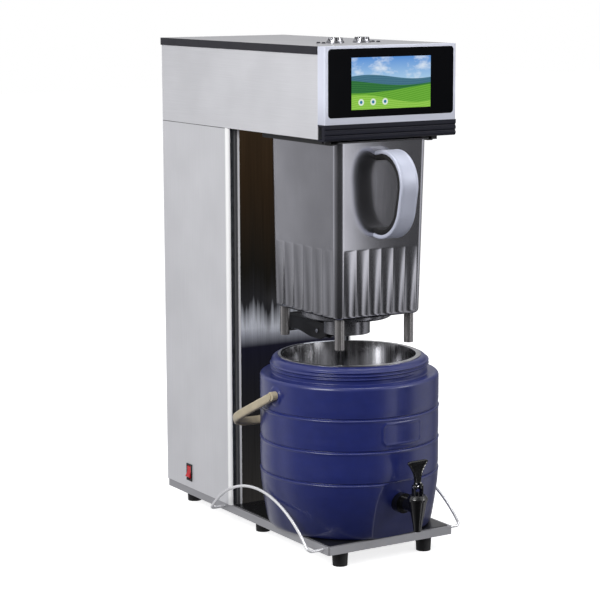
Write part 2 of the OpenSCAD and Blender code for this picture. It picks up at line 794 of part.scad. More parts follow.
// Pipe along straight legs with ball elbows
module leg_run(pts, r) {
    for (i = [0:len(pts) - 2]) let (d = pts[i + 1] - pts[i], l = norm(d)) translate(pts[i])
        rotate([0, acos(d[2] / l), atan2(d[1], d[0])]) cylinder(h = l, r = r, $fn = coarse);
    for (i = [1:1:len(pts) - 2]) translate(pts[i]) sphere(r = r, $fn = coarse);
}
module pipe(pts) difference() { leg_run(pts, pipe_r); leg_run(pts, pipe_bore); }

module water_pipes() color([0.75, 0.72, 0.68]) {
    pipe([[0, boiler_y, boiler_top + lid_t + stub_h], [0, boiler_y, pipe_z],
          [0, valve_y + valve_half, pipe_z]]);
    pipe([[0, valve_y - valve_half, pipe_z], [0, -outlet_y, pipe_z],
          [0, -outlet_y, head_z + spray_neck_h]]);
    pipe([[-inlet_x, wall_y - inlet_gap - inlet_valve_d, inlet_z0], [-inlet_x, boiler_y, inlet_z0],
          [-inlet_x, boiler_y, boiler_z]]);
}

module boiler_tank() color([0.78, 0.78, 0.8]) translate([0, boiler_y, 0]) difference() {
    union() {
        translate([0, 0, boiler_z]) cylinder(h = boiler_h, r = boiler_r, $fn = fine);
        translate([0, 0, boiler_top - 3]) cylinder(h = 3, r = flange_r, $fn = fine);
        translate([0, 0, shelf_z + shelf_t]) difference() {
            cylinder(h = boiler_z - shelf_z - shelf_t + eps, r = 30, $fn = fine);
            translate([0, 0, -1]) cylinder(h = boiler_z, r = 27, $fn = fine);
        }
    }
    translate([0, 0, boiler_z + boiler_wall]) cylinder(h = boiler_h, r = boiler_r - boiler_wall, $fn = fine);
    translate([-inlet_x, 0, boiler_z - 1]) cylinder(h = 4, r = pipe_bore, $fn = coarse);
}

heater_places = [for (s = [-1, 1]) for (t = [-1, 1]) [s * rod_x, t * heater_y]];
module boiler_lid() color([0.7, 0.7, 0.72]) translate([0, boiler_y, boiler_top]) difference() {
    union() {
        cylinder(h = lid_t, r = flange_r, $fn = fine);
        cylinder(h = lid_t + stub_h, r = pipe_r + 3, $fn = fine);
    }
    translate([0, 0, -1]) cylinder(h = lid_t + stub_h + 2, r = pipe_bore, $fn = coarse);
    for (p = heater_places) translate([p[0], p[1], -1]) cylinder(h = lid_t + 2, r = heater_r + 0.2, $fn = coarse);
}

module heating_element() color([0.6, 0.45, 0.35]) translate([0, boiler_y, 0]) for (t = [-1, 1])
    translate([0, t * heater_y, 0]) {
        bend_z = boiler_z + 18 + rod_x;
        translate([0, 0, bend_z]) rotate([90, 0, 0])
            rotate_extrude(angle = 180, start = 180, $fn = fine) translate([rod_x, 0])
                circle(r = heater_r, $fn = coarse);
        for (s = [-1, 1]) translate([s * rod_x, 0, bend_z]) {
            cylinder(h = boiler_top + lid_t + 10 - bend_z, r = heater_r, $fn = coarse);
            translate([0, 0, boiler_top + lid_t - bend_z]) cylinder(h = 7, r = heater_r + 3, $fn = 6);
        }
    }

module inlet_fitting() color([0.72, 0.6, 0.35]) difference() {
    union() {
        y_rod(-inlet_x, back_y - eps, inlet_z0, inlet_l + 4, inlet_r);
        translate([-inlet_x, back_y, inlet_z0]) rotate([-90, 0, 0]) cylinder(h = 4, r = inlet_r + 5, $fn = 6);
        y_rod(-inlet_x, wall_y - inlet_gap, inlet_z0, inlet_gap + sheet_t, inlet_r);
    }
    y_rod(-inlet_x, wall_y - inlet_gap - 1, inlet_z0, 60, 7);
}

module inlet_valve() color([0.2, 0.25, 0.3]) {
    y1 = wall_y - inlet_gap;
    difference() {
        span([-inlet_x - 15, y1 - inlet_valve_d, inlet_z0 - 14], [-inlet_x + 15, y1, inlet_z0 + 14]);
        y_rod(-inlet_x, y1 - inlet_valve_d - 1, inlet_z0, inlet_valve_d + 2, pipe_bore);
    }
    translate([-inlet_x, y1 - 22, inlet_z0 + 14]) cylinder(h = 26, r = 15, $fn = fine);
}

module control_board() color([0.1, 0.35, 0.2]) {
    board_y = wall_y - 10;
    for (s = [-1, 1], z = [board_edge, board_h - board_edge])
        y_rod(s * (board_w / 2 - board_edge), board_y, board_z + z, 10, 3);
    span([-board_w / 2, board_y - 1.6, board_z], [board_w / 2, board_y, board_z + board_h]);
    u = board_h / 12;
    for (p = [[-4.5, 3, 2.2, 2.8, 1.6], [-1.5, 3, 2.2, 2.8, 1.6], [3, 3.5, 4, 4, 2.2], [-3, 8.5, 6, 2, 1.2],
              [4, 9, 3, 2.6, 0.8]] * u)
        span([p[0] - p[2] / 2, board_y - 1.5 - p[4], board_z + p[1] - p[3] / 2],
             [p[0] + p[2] / 2, board_y - 1.5, board_z + p[1] + p[3] / 2]);
}

module cable_gland() color([0.1, 0.1, 0.1]) difference() {
    union() {
        y_rod(gland_x, wall_y - 12, inlet_z0, 12 + sheet_t + 6, 8);
        for (y = [wall_y - 5, back_y]) translate([gland_x, y, inlet_z0]) rotate([-90, 0, 0])
            cylinder(h = 5, r = 12, $fn = 6);
        translate([gland_x, back_y + 5 - eps, inlet_z0]) rotate([-90, 0, 0])
            cylinder(h = 12, r1 = 11, r2 = 8, $fn = fine);
    }
    y_rod(gland_x, wall_y - 20, inlet_z0, 60, 4.5);
}

// Rocker switch

module switch_housing() color([0.08, 0.08, 0.08]) difference() {
    union() {
        span([-half_w - bezel_t, switch_y - switch_w / 2, switch_z - switch_h / 2],
             [-half_w, switch_y + switch_w / 2, switch_z + switch_h / 2]);
        span([-half_w - 1, switch_y - switch_body_w / 2, switch_z - switch_body_h / 2],
             [-half_w + switch_depth, switch_y + switch_body_w / 2, switch_z + switch_body_h / 2]);
        for (z = [-7, 7]) span([-half_w + switch_depth - 1, switch_y - 3, switch_z + z - 0.4],
                               [-half_w + switch_depth + 8, switch_y + 3, switch_z + z + 0.4]);
    }
    span([-half_w - 5, switch_y - rocker_w / 2 - 0.2, switch_z - rocker_r - 0.4],
         [rocker_x + rocker_r + 0.4, switch_y + rocker_w / 2 + 0.2, switch_z + rocker_r + 0.4]);
    translate([rocker_x, switch_y, switch_z]) rotate([90, 0, 0])
        cylinder(h = switch_body_w - 0.6, r = trunnion_r + fit_gap, center = true, $fn = coarse);
}

// Rocker with its upper end pressed in
module power_rocker() color([0.75, 0.1, 0.12]) translate([rocker_x, switch_y, switch_z])
    rotate([0, rocker_tilt, 0]) rotate([90, 0, 0]) {
        linear_extrude(rocker_w, center = true) intersection() {
            circle(r = rocker_r, $fn = fine);
            polygon([[4, -rocker_r], [4, rocker_r], [-6 - rocker_r * tan(rocker_tilt), rocker_r],
                     [-6, 0], [-6 - rocker_r * tan(rocker_tilt), -rocker_r]]);
        }
        cylinder(h = switch_body_w - 0.8, r = trunnion_r, center = true, $fn = coarse);
    }

// Drain drive: bracket, lever, solenoid and rod

module cheek_outline() difference() {
    polygon([[column_y - sheet_t, bracket_top], [bracket_front + 4, bracket_top],
             [bracket_front, bracket_top - 5], [bracket_front, arm_z - 6], [arm_y - 8, bracket_z],
             [arm_y + 25, bracket_z], [column_y - 40, bracket_z + 7], [column_y - sheet_t, bracket_z + 4]]);
    translate([arm_y, arm_z]) circle(r = arm_pin_r + fit_gap, $fn = fine);
}

module arm_bracket() color([0.1, 0.1, 0.11]) {
    both_sides() translate([(cheek_in + cheek_out) / 2, 0, 0]) across(cheek_out - cheek_in) cheek_outline();
    span([-cheek_out, arm_y + 12, bracket_top - 3], [cheek_out, column_y - sheet_t, bracket_top]);
    difference() {
        span([-24, column_y - sheet_t - 1, bracket_z - 2], [24, column_y, bracket_top + 2]);
        y_rod(0, column_y - 10, rod_z, 20, rod_r + 1);
        bracket_screw_places() translate([0, 0, -9]) cylinder(h = 12, r = screw_hole_r, $fn = coarse);
    }
}

module arm_pin() color([0.7, 0.7, 0.72]) {
    x_rod(0, arm_y, arm_z, 2 * cheek_out + 3, arm_pin_r);
    both_sides() x_rod(cheek_out + 1.7, arm_y, arm_z, 2, arm_pin_r + 1.5);
}

// Lever's outline: a hub, a bar up to the nose under the plunger, and a tail down to the rod
module lever_outline() difference() {
    union() {
        translate([arm_y, arm_z]) circle(r = 6, $fn = fine);
        translate([-outlet_y, nose_z]) circle(r = nose_r, $fn = fine);
        translate([arm_y, rod_z]) circle(r = tail_r, $fn = fine);
        span2([arm_y - tail_r, rod_z], [arm_y + tail_r, arm_z]);
        polygon([[-outlet_y, nose_z + nose_r], [-outlet_y, nose_z - nose_r],
                 [arm_y, arm_z - 4], [arm_y, arm_z + 4]]);
    }
    translate([arm_y, arm_z]) circle(r = arm_pin_r + fit_gap, $fn = fine);
}
module valve_arm() color([0.35, 0.35, 0.37]) across(2 * arm_half) lever_outline();

module solenoid() color([0.15, 0.15, 0.17]) difference() {
    y0 = column_y + sheet_t;
    union() {
        span([-solenoid_half, y0, rod_z - solenoid_half], [solenoid_half, y0 + solenoid_d, rod_z + solenoid_half]);
        for (z = [-1, 1]) translate([0, y0, rod_z + z * (solenoid_half + 4)])
            span([-solenoid_half, 0, -4.1], [solenoid_half, 2, 4.1]);
    }
    y_rod(0, y0 - 1, rod_z, solenoid_d - 8, rod_r + fit_gap);
    bracket_screw_places() translate([0, 0, -12]) cylinder(h = 14, r = screw_hole_r, $fn = coarse);
}

module solenoid_rod() color([0.7, 0.7, 0.72])
    y_rod(0, arm_y + tail_r + 0.3, rod_z, column_y + 24 - arm_y - tail_r, rod_r);

// Brewing container

// Four thin corner discs of a level, inset by d at height h over the container's bottom
module level(h, d) {
    k = h / cont_h;
    hw = foot_half + side_draft * k - d;
    r = cont_r - d;
    for (sx = [-1, 1], y = [foot_front - front_draft * k + d + r, cont_back - d - r])
        translate([sx * (hw - r), y, cont_z + h]) cylinder(h = eps, r = r, $fn = coarse);
}
module outer_form() hull() {
    level(cont_h - eps, 0);
    level(cont_edge_r, 0);
    level(cont_edge_r * 0.29, cont_edge_r * 0.29);
    level(0, cont_edge_r);
}
module inner_form() hull() {
    level(cont_h + 1, cont_t);
    level(cont_t + cont_edge_r, cont_t);
    level(cont_t, cont_edge_r);
}

// Flutes as long round cutters that lean out of the face at flute_h; grow thickens them
module face_flutes(face_w, grow) {
    pitch = face_w / flute_n;
    r = pitch * pitch / 8 / (flute_depth * 0.72);
    lean = atan(flute_depth / flute_h);
    for (i = [0:flute_n - 1]) translate([(i + 0.5) * pitch - face_w / 2, -r + flute_depth, 0])
        rotate([lean, 0, 0]) translate([0, 0, -20]) cylinder(h = flute_h + 20, r = r + grow, $fn = fine);
}
module flutes(grow) {
    face_front = 2 * (foot_half - cont_r);
    face_side = cont_back - foot_front - 2 * cont_r;
    translate([0, foot_front, cont_z]) rotate([atan(front_draft / cont_h), 0, 0])
        face_flutes(face_front, grow);
    both_sides() translate([-foot_half, foot_mid, cont_z]) rotate([0, -atan(side_draft / cont_h), 0])
        rotate([0, 0, -90]) face_flutes(face_side, grow);
}

module container_body() color([0.5, 0.5, 0.52]) difference() {
    outer_form();
    flutes(0);
    difference() { inner_form(); flutes(cont_t); }
    translate([0, -outlet_y, cont_z - 1]) cylinder(h = cont_t + 2, r = dish_r - 6, $fn = fine);
}

module container_rim() color([0.6, 0.6, 0.62]) translate([0, (cont_front + cont_back) / 2, runner_z])
    linear_extrude(runner_t) difference() {
        round_rect(runner_w, cont_d + 2, cont_r + 1);
        round_rect(cont_w - 2 * cont_t, cont_d - 2 * cont_t, cont_r - cont_t);
    }

module container_legs() color([0.7, 0.7, 0.72])
    for (sx = [-1, 1], y = [-outlet_y - leg_front, -outlet_y + leg_back])
        translate([sx * leg_x, y, cont_z - leg_l]) difference() {
            cylinder(h = leg_l, d = leg_d, $fn = fine);
            translate([0, 0, -1]) cylinder(h = leg_l - 8, d = leg_d - 3, $fn = fine);
        }

// Dish, outlet ring and the spider that guides the plunger's stem
module drain_sump() color([0.6, 0.6, 0.62]) translate([0, -outlet_y, 0]) difference() {
    union() {
        rotate_extrude($fn = fine * 2) polygon(concat(
            [[drain_r, dish_z], [drain_r, seat_z]],
            [[dish_r - dish_t, seat_z], [dish_r - dish_t, cont_z], [dish_r, cont_z]],
            arc(dish_r - 5, dish_z + 5, 5, 0, -90, 6)));
        translate([0, 0, ring_z]) difference() {
            cylinder(h = ring_h + eps, r = ring_r, $fn = fine * 2);
            translate([0, 0, -1]) cylinder(h = ring_h + 2, r = ring_r - ring_t, $fn = fine * 2);
        }
        translate([0, 0, spider_z]) {
            cylinder(h = spider_t, r = stem_r + 3, $fn = fine);
            for (a = [30, 150, 270]) rotate([0, 0, a])
                translate([stem_r + 1, -1.5, 0]) cube([ring_r - ring_t - stem_r, 3, spider_t]);
        }
    }
    translate([0, 0, spider_z - 1]) cylinder(h = spider_t + 2, r = stem_r + fit_gap, $fn = fine);
    span([-arm_half - 3, 0, ring_z - 1], [arm_half + 3, ring_r + 1, spider_z - 4]);
}

module strainer() color([0.7, 0.7, 0.72]) translate([0, -outlet_y, strainer_z]) difference() {
    union() {
        cylinder(h = strainer_t, r = dish_r - 3, $fn = fine);
        cylinder(h = cap_h, r = cap_r, $fn = fine);
    }
    translate([0, 0, -1]) cylinder(h = cap_h - 1, r = cap_r - cap_t, $fn = fine);
    for (ring = [cap_r + 8, cap_r + 18, cap_r + 28], a = [0:360 / round(ring * 0.6):359]) rotate([0, 0, a])
        translate([ring, 0, -1]) cylinder(h = strainer_t + 2, r = 2.2, $fn = 16);
    for (a = [0:30:330]) rotate([0, 0, a]) {
        translate([cap_r - 2 * cap_t, -1.5, 4]) cube([3 * cap_t, 3, cap_h - 9]);
        translate([cap_r - 11, 0, cap_h - 3]) cylinder(h = 4, r = 2.2, $fn = 16);
    }
}

module drain_plunger() color([0.75, 0.75, 0.77]) translate([0, -outlet_y, 0]) {
    rotate_extrude($fn = fine) polygon([[0, disc_z], [plunger_r - 6, disc_z], [plunger_r - 6, seat_z],
        [plunger_r - 1, seat_z], [plunger_r, disc_z], [plunger_r, disc_z + disc_t - 1],
        [plunger_r - 1, disc_z + disc_t], [0, disc_z + disc_t]]);
    translate([0, 0, stem_foot_z]) cylinder(h = disc_z + disc_t + 4 - stem_foot_z, r = stem_r, $fn = fine);
    translate([0, 0, stem_foot_z]) cylinder(h = stem_foot_t, r = stem_foot_r, $fn = fine);
}

module drain_spring() color([0.8, 0.8, 0.8]) translate([0, -outlet_y, 0])
    helix(drain_spring_r, drain_spring_wire, disc_z + disc_t + 0.05,
          strainer_z + cap_h - 2.1 - disc_z - disc_t, 4);

// Container handle: outline in the Y-Z plane before the leaning front face

handle_front = foot_front - handle_reach - 4;
module handle_blob(d) {
    r_top = 56 - d;
    r_low = 62 - d;
    hull() {
        translate([handle_front + 53, cont_z + handle_top - 56]) circle(r = r_top, $fn = fine);
        translate([handle_front + 65, cont_z + handle_bottom + 62]) circle(r = r_low, $fn = fine);
        span2([foot_front - 2, cont_z + handle_bottom + 4 + d], [foot_front + 6, cont_z + handle_top - 6 - d]);
    }
}
// Everything behind the container's leaning front face
module behind_face() polygon([[foot_front, cont_z], [foot_front - front_draft, cont_top],
    [foot_front + 60, cont_top], [foot_front + 60, cont_z]]);

module handle_strap() color([0.72, 0.73, 0.78]) across(strap_w) difference() {
    handle_blob(0);
    handle_blob(strap_t);
    behind_face();
}
module handle_grip() color([0.08, 0.08, 0.1]) across(strap_w - 2) difference() {
    handle_blob(strap_t);
    handle_blob(strap_t + grip_t);
    behind_face();
}

// Bucket, drawn about its own axis with its tap towards -Y

thread_places = [[0, 290, 9], [95, 300, 15], [200, 300, 21]];
module bucket_outline(d) polygon(concat(
    [[0, bucket_z + d], [bottom_r - d, bucket_z + d], [bottom_r + 4.5 - d, bucket_z + 2.5 + 0.9 * d],
     [bottom_r + 6.5 - d, bucket_z + 7 + 0.5 * d], [bottom_r + 8.5 - d, bucket_z + 17],
     [belly_r - 3 - d, bucket_z + 29], [belly_r - d, bucket_z + 48], [belly_r + 1.3 - d, bucket_z + 57],
     [bucket_r - 1 - d, bucket_z + 75], [bucket_r - d, bucket_z + 91]],
    arc(bucket_r - 6 - d + 0.01, shoulder_z - 6 - d, 6, 0, 80, 5),
    [[neck_r - d, shoulder_z - d], [neck_r - d, neck_top - 12]],
    arc(neck_r - 10 - d, neck_top - 10, 10, 0, 90, 8),
    [[0, neck_top]]));

// Side view of the space in front of the leaning flat, moved back by t
module flat_side(t) polygon([[-flat_r + t / cos(flat_lean), flat_top + t],
    [-bucket_r - 20, flat_top + t], [-bucket_r - 20, bucket_z - 1],
    [-flat_r + (t + (flat_top - bucket_z + 1 + t) * sin(flat_lean)) / cos(flat_lean), bucket_z - 1]]);

// Space inside the shell's wall of thickness t, with the flat's wall kept
module bucket_hollow(t) difference() {
    rotate_extrude($fn = fine * 2) difference() {
        bucket_outline(t);
        translate([0, neck_top - t]) square([bucket_r, 20]);
    }
    across(120) flat_side(t);
}

// Raised bare plate between the two upper grooves
module nameplate() intersection() {
    translate([0, 0, bucket_z + groove_z + 1.5 * groove_pitch + 0.5]) from_front(-bucket_r - 20, 60)
        polygon([for (p = [[-40, -12], [-22, -19], [22, -19], [40, -12], [40, 12], [22, 19], [-22, 19],
                           [-40, 12]]) p]);
    cylinder(h = 400, r = bucket_r + 1.5, $fn = fine * 2);
}

module bucket_shell() color([0.2, 0.22, 0.45]) on_bucket() difference() {
    union() {
        rotate_extrude($fn = fine * 2) bucket_outline(0);
        for (t = thread_places) rotate_extrude(angle = t[1], start = t[0], $fn = fine * 2)
            polygon([[neck_r - 1, shoulder_z + t[2] - 2.6], [neck_r + thread_h, shoulder_z + t[2] - 0.6],
                     [neck_r + thread_h, shoulder_z + t[2] + 0.6], [neck_r - 1, shoulder_z + t[2] + 2.6]]);
        nameplate();
        both_sides() x_rod(bucket_r - 4, 0, bail_z, 2 * (4 + boss_out), boss_r);
    }
    for (i = [0:2]) translate([0, 0, bucket_z + groove_z + i * groove_pitch]) rotate_extrude($fn = fine * 2)
        polygon([[bucket_r - groove_cut, 0.8], [bucket_r + 5, 5], [bucket_r + 5, -3],
                 [bucket_r - groove_cut, -0.8]]);
    across(120) flat_side(0);
    bucket_hollow(shell_t);
    translate([0, 0, neck_top - 4]) cylinder(h = 10, r = liner_r + 0.2, $fn = fine * 2);
    y_rod(0, -bucket_r - 1, inlet_z, 60, shank_r + 0.2);
    both_sides() x_rod(bucket_r, 0, bail_z, 30, bail_pin_r + fit_gap);
}

module bucket_foam() color([0.9, 0.88, 0.75]) on_bucket() difference() {
    bucket_hollow(shell_t + foam_gap);
    translate([0, 0, liner_z - foam_gap]) cylinder(h = 400, r = liner_r + foam_gap, $fn = fine * 2);
    y_rod(0, -bucket_r - 1, inlet_z, 60, shank_r + foam_gap);
    both_sides() x_rod(bucket_r - 6, 0, bail_z, 16, bail_pin_r + 4);
}

module bucket_liner() color([0.75, 0.75, 0.77]) on_bucket() difference() {
    rotate_extrude($fn = fine * 2) polygon(concat(
        [[0, liner_z], [liner_r - 8, liner_z]], arc(liner_r - 8, liner_z + 8, 8, -90, 0, 6),
        [[liner_r, neck_top], [mouth_r + 8.5, neck_top]],
        arc(mouth_r + 8.5 - 0.5, neck_top + 0.75, 0.75, -60, 90, 4),
        [[mouth_r + 1, neck_top + 1.5]], arc(mouth_r + 0.8, neck_top + 0.7, 0.8, 90, 180, 3),
        arc(mouth_r - 7, liner_z + liner_t + 7, 7, 0, -90, 6), [[0, liner_z + liner_t]]));
    y_rod(0, -mouth_r - 12, inlet_z, 30, shank_r + 0.2);
}

// Bail, drawn flat with its arms towards +Y and then tilted down to its rest

module bail_section() round_rect(bail_t, bail_h, 4);
module bail_flat() difference() {
    union() {
        both_sides() translate([bail_x, 0, 0]) {
            x_rod(0, -5, 0, bail_t, bail_h / 2);
            translate([0, -5, 0]) rotate([-90, 0, 0]) linear_extrude(bail_reach - bail_r + 5) bail_section();
            translate([-bail_r, bail_reach - bail_r, 0]) rotate_extrude(angle = 90, $fn = fine * 2)
                translate([bail_r, 0]) bail_section();
        }
        translate([-bail_x + bail_r, bail_reach, 0]) rotate([90, 0, 90])
            linear_extrude(2 * (bail_x - bail_r)) bail_section();
    }
    x_rod(0, 0, 0, 2 * bail_x + 40, bail_pin_r + fit_gap);
}
module bail() color([0.88, 0.84, 0.74]) on_bucket() translate([0, 0, bail_z]) rotate([-bail_tilt, 0, 0])
    bail_flat();

module bail_pins() color([0.6, 0.6, 0.62]) on_bucket() both_sides() {
    pin_end = bail_x + bail_t / 2 + 0.4;
    x_rod((bucket_r - 9 + pin_end) / 2, 0, bail_z, pin_end - bucket_r + 9, bail_pin_r);
    x_rod(pin_end + 0.75, 0, bail_z, 1.5, bail_pin_r + 2);
    x_rod(bucket_r - shell_t - 2.2, 0, bail_z, 3, bail_pin_r + 3);
}

// Tap, drawn about the bucket's axis

module on_tap() on_bucket() translate([0, -tap_reach, 0]) children();
chamber_r = cup_r - cup_wall;
module tap_body() color([0.09, 0.09, 0.1]) {
    on_tap() difference() {
        union() {
            rotate_extrude($fn = fine) polygon([[0, cup_bottom], [spout_r, cup_bottom],
                [spout_r + 1.5, seat_bottom - 6], [cup_r - 1.5, cup_top - 4], [cup_r, cup_top - 3],
                [cup_r, cup_top], [0, cup_top]]);
            y_rod(0, 0, inlet_z, tap_reach - mouth_r + 14, shank_r);
            intersection() {
                y_rod(0, tap_reach - flat_r - 7, inlet_z, 20, collar_r);
                translate([0, tap_reach, 0]) across(80) flat_side(0);
            }
        }
        translate([0, 0, cup_bottom - 1]) cylinder(h = 40, r = spout_r - 1.8, $fn = fine);
        translate([0, 0, seat_bottom]) cylinder(h = 12, r1 = spout_r - 1.8, r2 = chamber_r - 3.2, $fn = fine);
        translate([0, 0, seat_bottom + 12 - eps])
            cylinder(h = cup_top - seat_bottom - 10, r1 = chamber_r - 3.2, r2 = chamber_r, $fn = fine);
        y_rod(0, 0, inlet_z, tap_reach, shank_r - 4.5);
    }
}

module tap_nut() color([0.12, 0.12, 0.13]) on_bucket() difference() {
    translate([0, -mouth_r + 2.6, inlet_z]) rotate([-90, 0, 0]) cylinder(h = 7, r = collar_r, $fn = 6);
    y_rod(0, -mouth_r - 5, inlet_z, 30, shank_r + 0.1);
}

module tap_bonnet() color([0.09, 0.09, 0.1]) on_tap() difference() {
    union() {
        translate([0, 0, cup_top]) cylinder(h = bonnet_t, r1 = cup_r, r2 = cup_r - 4, $fn = fine);
        both_sides() {
            span([ear_in, -4, cup_top + bonnet_t - 1], [ear_out, 4, lever_pivot]);
            x_rod((ear_in + ear_out) / 2, 0, lever_pivot, ear_out - ear_in, 4);
        }
    }
    translate([0, 0, cup_top - 1]) cylinder(h = bonnet_t + 2, r = tap_stem_r + fit_gap, $fn = fine);
    x_rod(0, 0, lever_pivot, 3 * ear_out, tap_pin_r + fit_gap);
}

module tap_stem() color([0.15, 0.15, 0.16]) on_tap() {
    translate([0, 0, plug_z]) cylinder(h = stem_top - plug_z, r = tap_stem_r, $fn = fine);
    translate([0, 0, plug_z]) cylinder(h = plug_t, r = plug_r, $fn = fine);
}

module tap_spring() color([0.8, 0.8, 0.8]) on_tap()
    helix(tap_spring_r, tap_spring_wire, plug_z + plug_t + 0.05, cup_top - plug_z - plug_t - 0.1, 5);

// Lever: two cheeks round the stem under a paddle that widens upwards
module tap_lever() color([0.1, 0.1, 0.11]) on_tap() difference() {
    union() {
        both_sides() {
            x_rod(4.6, 0, lever_pivot, 3, hub_r);
            span([3.1, -3, lever_pivot], [6.1, 3, lever_pivot + 10]);
        }
        translate([0, 0, lever_pivot]) from_front(-3, 6)
            polygon([[-6.1, 8], [6.1, 8], [7, 16], [lever_w / 2, lever_l - 4], [lever_w / 2, lever_l],
                     [-lever_w / 2, lever_l], [-lever_w / 2, lever_l - 4], [-7, 16]]);
    }
    x_rod(0, 0, lever_pivot, 3 * ear_out, tap_pin_r + fit_gap);
}

module tap_pin() color([0.6, 0.6, 0.62]) on_tap() x_rod(0, 0, lever_pivot, 2 * ear_out + 1, tap_pin_r);

base_pan();
tray_inlay();
feet();
guard_wires();
chassis();
column_sides();
column_front();
back_panel();
head_sides();
head_bottom();
top_cover();
top_rim();
panel_screws();
vent_bases();
vent_grilles();
fascia_frame();
glass_panel();
lcd_module();
display_board();
front_lip();
rails();
spray_head();
brew_valve();
water_pipes();
boiler_tank();
boiler_lid();
heating_element();
inlet_fitting();
inlet_valve();
control_board();
cable_gland();
switch_housing();
power_rocker();
arm_bracket();
arm_pin();
valve_arm();
solenoid();
solenoid_rod();
container_body();
container_rim();
container_legs();
drain_sump();
strainer();
drain_plunger();
drain_spring();
handle_strap();
handle_grip();
bucket_shell();
bucket_foam();
bucket_liner();
bail();
bail_pins();
tap_body();
tap_nut();
tap_bonnet();
tap_stem();
tap_spring();
tap_lever();
tap_pin();
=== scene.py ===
"""Looks of an immersion tea brewer with a hanging brewing container and an insulated bucket.

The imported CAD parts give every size. This script dresses them, and builds the pieces whose form
is softer than a machined solid: the fluted container, its handle, the moulded bucket and the
paddle of the tap. Lengths are metres in the frame of the part: +Z up and -Y towards the user.
"""

from __future__ import annotations

import logging
import math
from dataclasses import dataclass, field
from enum import Enum
from typing import Sequence

import bmesh
import bpy
import numpy as np
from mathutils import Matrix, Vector

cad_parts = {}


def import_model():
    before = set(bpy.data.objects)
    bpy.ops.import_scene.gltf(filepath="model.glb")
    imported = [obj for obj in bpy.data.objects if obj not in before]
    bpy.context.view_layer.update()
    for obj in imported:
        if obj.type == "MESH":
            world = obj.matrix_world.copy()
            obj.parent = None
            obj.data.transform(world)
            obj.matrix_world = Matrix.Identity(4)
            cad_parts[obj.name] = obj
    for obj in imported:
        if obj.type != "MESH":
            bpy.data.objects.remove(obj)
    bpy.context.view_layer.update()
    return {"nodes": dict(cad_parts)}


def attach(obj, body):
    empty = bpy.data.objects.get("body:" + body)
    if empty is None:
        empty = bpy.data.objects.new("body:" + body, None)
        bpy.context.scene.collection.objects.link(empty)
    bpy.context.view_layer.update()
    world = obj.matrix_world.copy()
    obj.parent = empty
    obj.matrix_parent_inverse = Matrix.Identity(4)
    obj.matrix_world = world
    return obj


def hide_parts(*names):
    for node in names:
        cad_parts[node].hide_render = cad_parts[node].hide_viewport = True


log = logging.getLogger("brewer")
MM = 0.001
Colour = tuple[float, float, float]
Socket = bpy.types.NodeSocket


class Grain(Enum):
    """Direction of a brushed or drawn finish, as the stretch of its noise along X, Y and Z."""

    ALONG_X = (0.012, 1.0, 1.0)
    ALONG_Y = (1.0, 0.012, 1.0)
    ALONG_Z = (1.0, 1.0, 0.012)
    EVEN = (1.0, 1.0, 1.0)


def linear(colour: Sequence[float]) -> tuple[float, float, float, float]:
    """Turns a colour into the linear one that a shader takes.

    Args:
        colour: Red, green and blue as displayed, 0 to 1, or four numbers that are linear already.

    Returns:
        The linear red, green and blue, and an alpha of 1.
    """
    if len(colour) == 4:
        return tuple(colour)
    r, g, b = (c / 12.92 if c <= 0.04045 else ((c + 0.055) / 1.055) ** 2.4 for c in colour[:3])
    return r, g, b, 1.0


def shade(colour: Sequence[float], gain: float) -> Colour:
    """Scales a displayed colour and keeps it between black and white."""
    r, g, b = (min(1.0, max(0.0, c * gain)) for c in colour[:3])
    return r, g, b


def around(colour: Colour, share: float) -> list[tuple[float, Colour]]:
    """Two stops of a ramp, a share darker and a share lighter than a colour."""
    return [(0.3, shade(colour, 1 - share)), (0.7, shade(colour, 1 + share))]


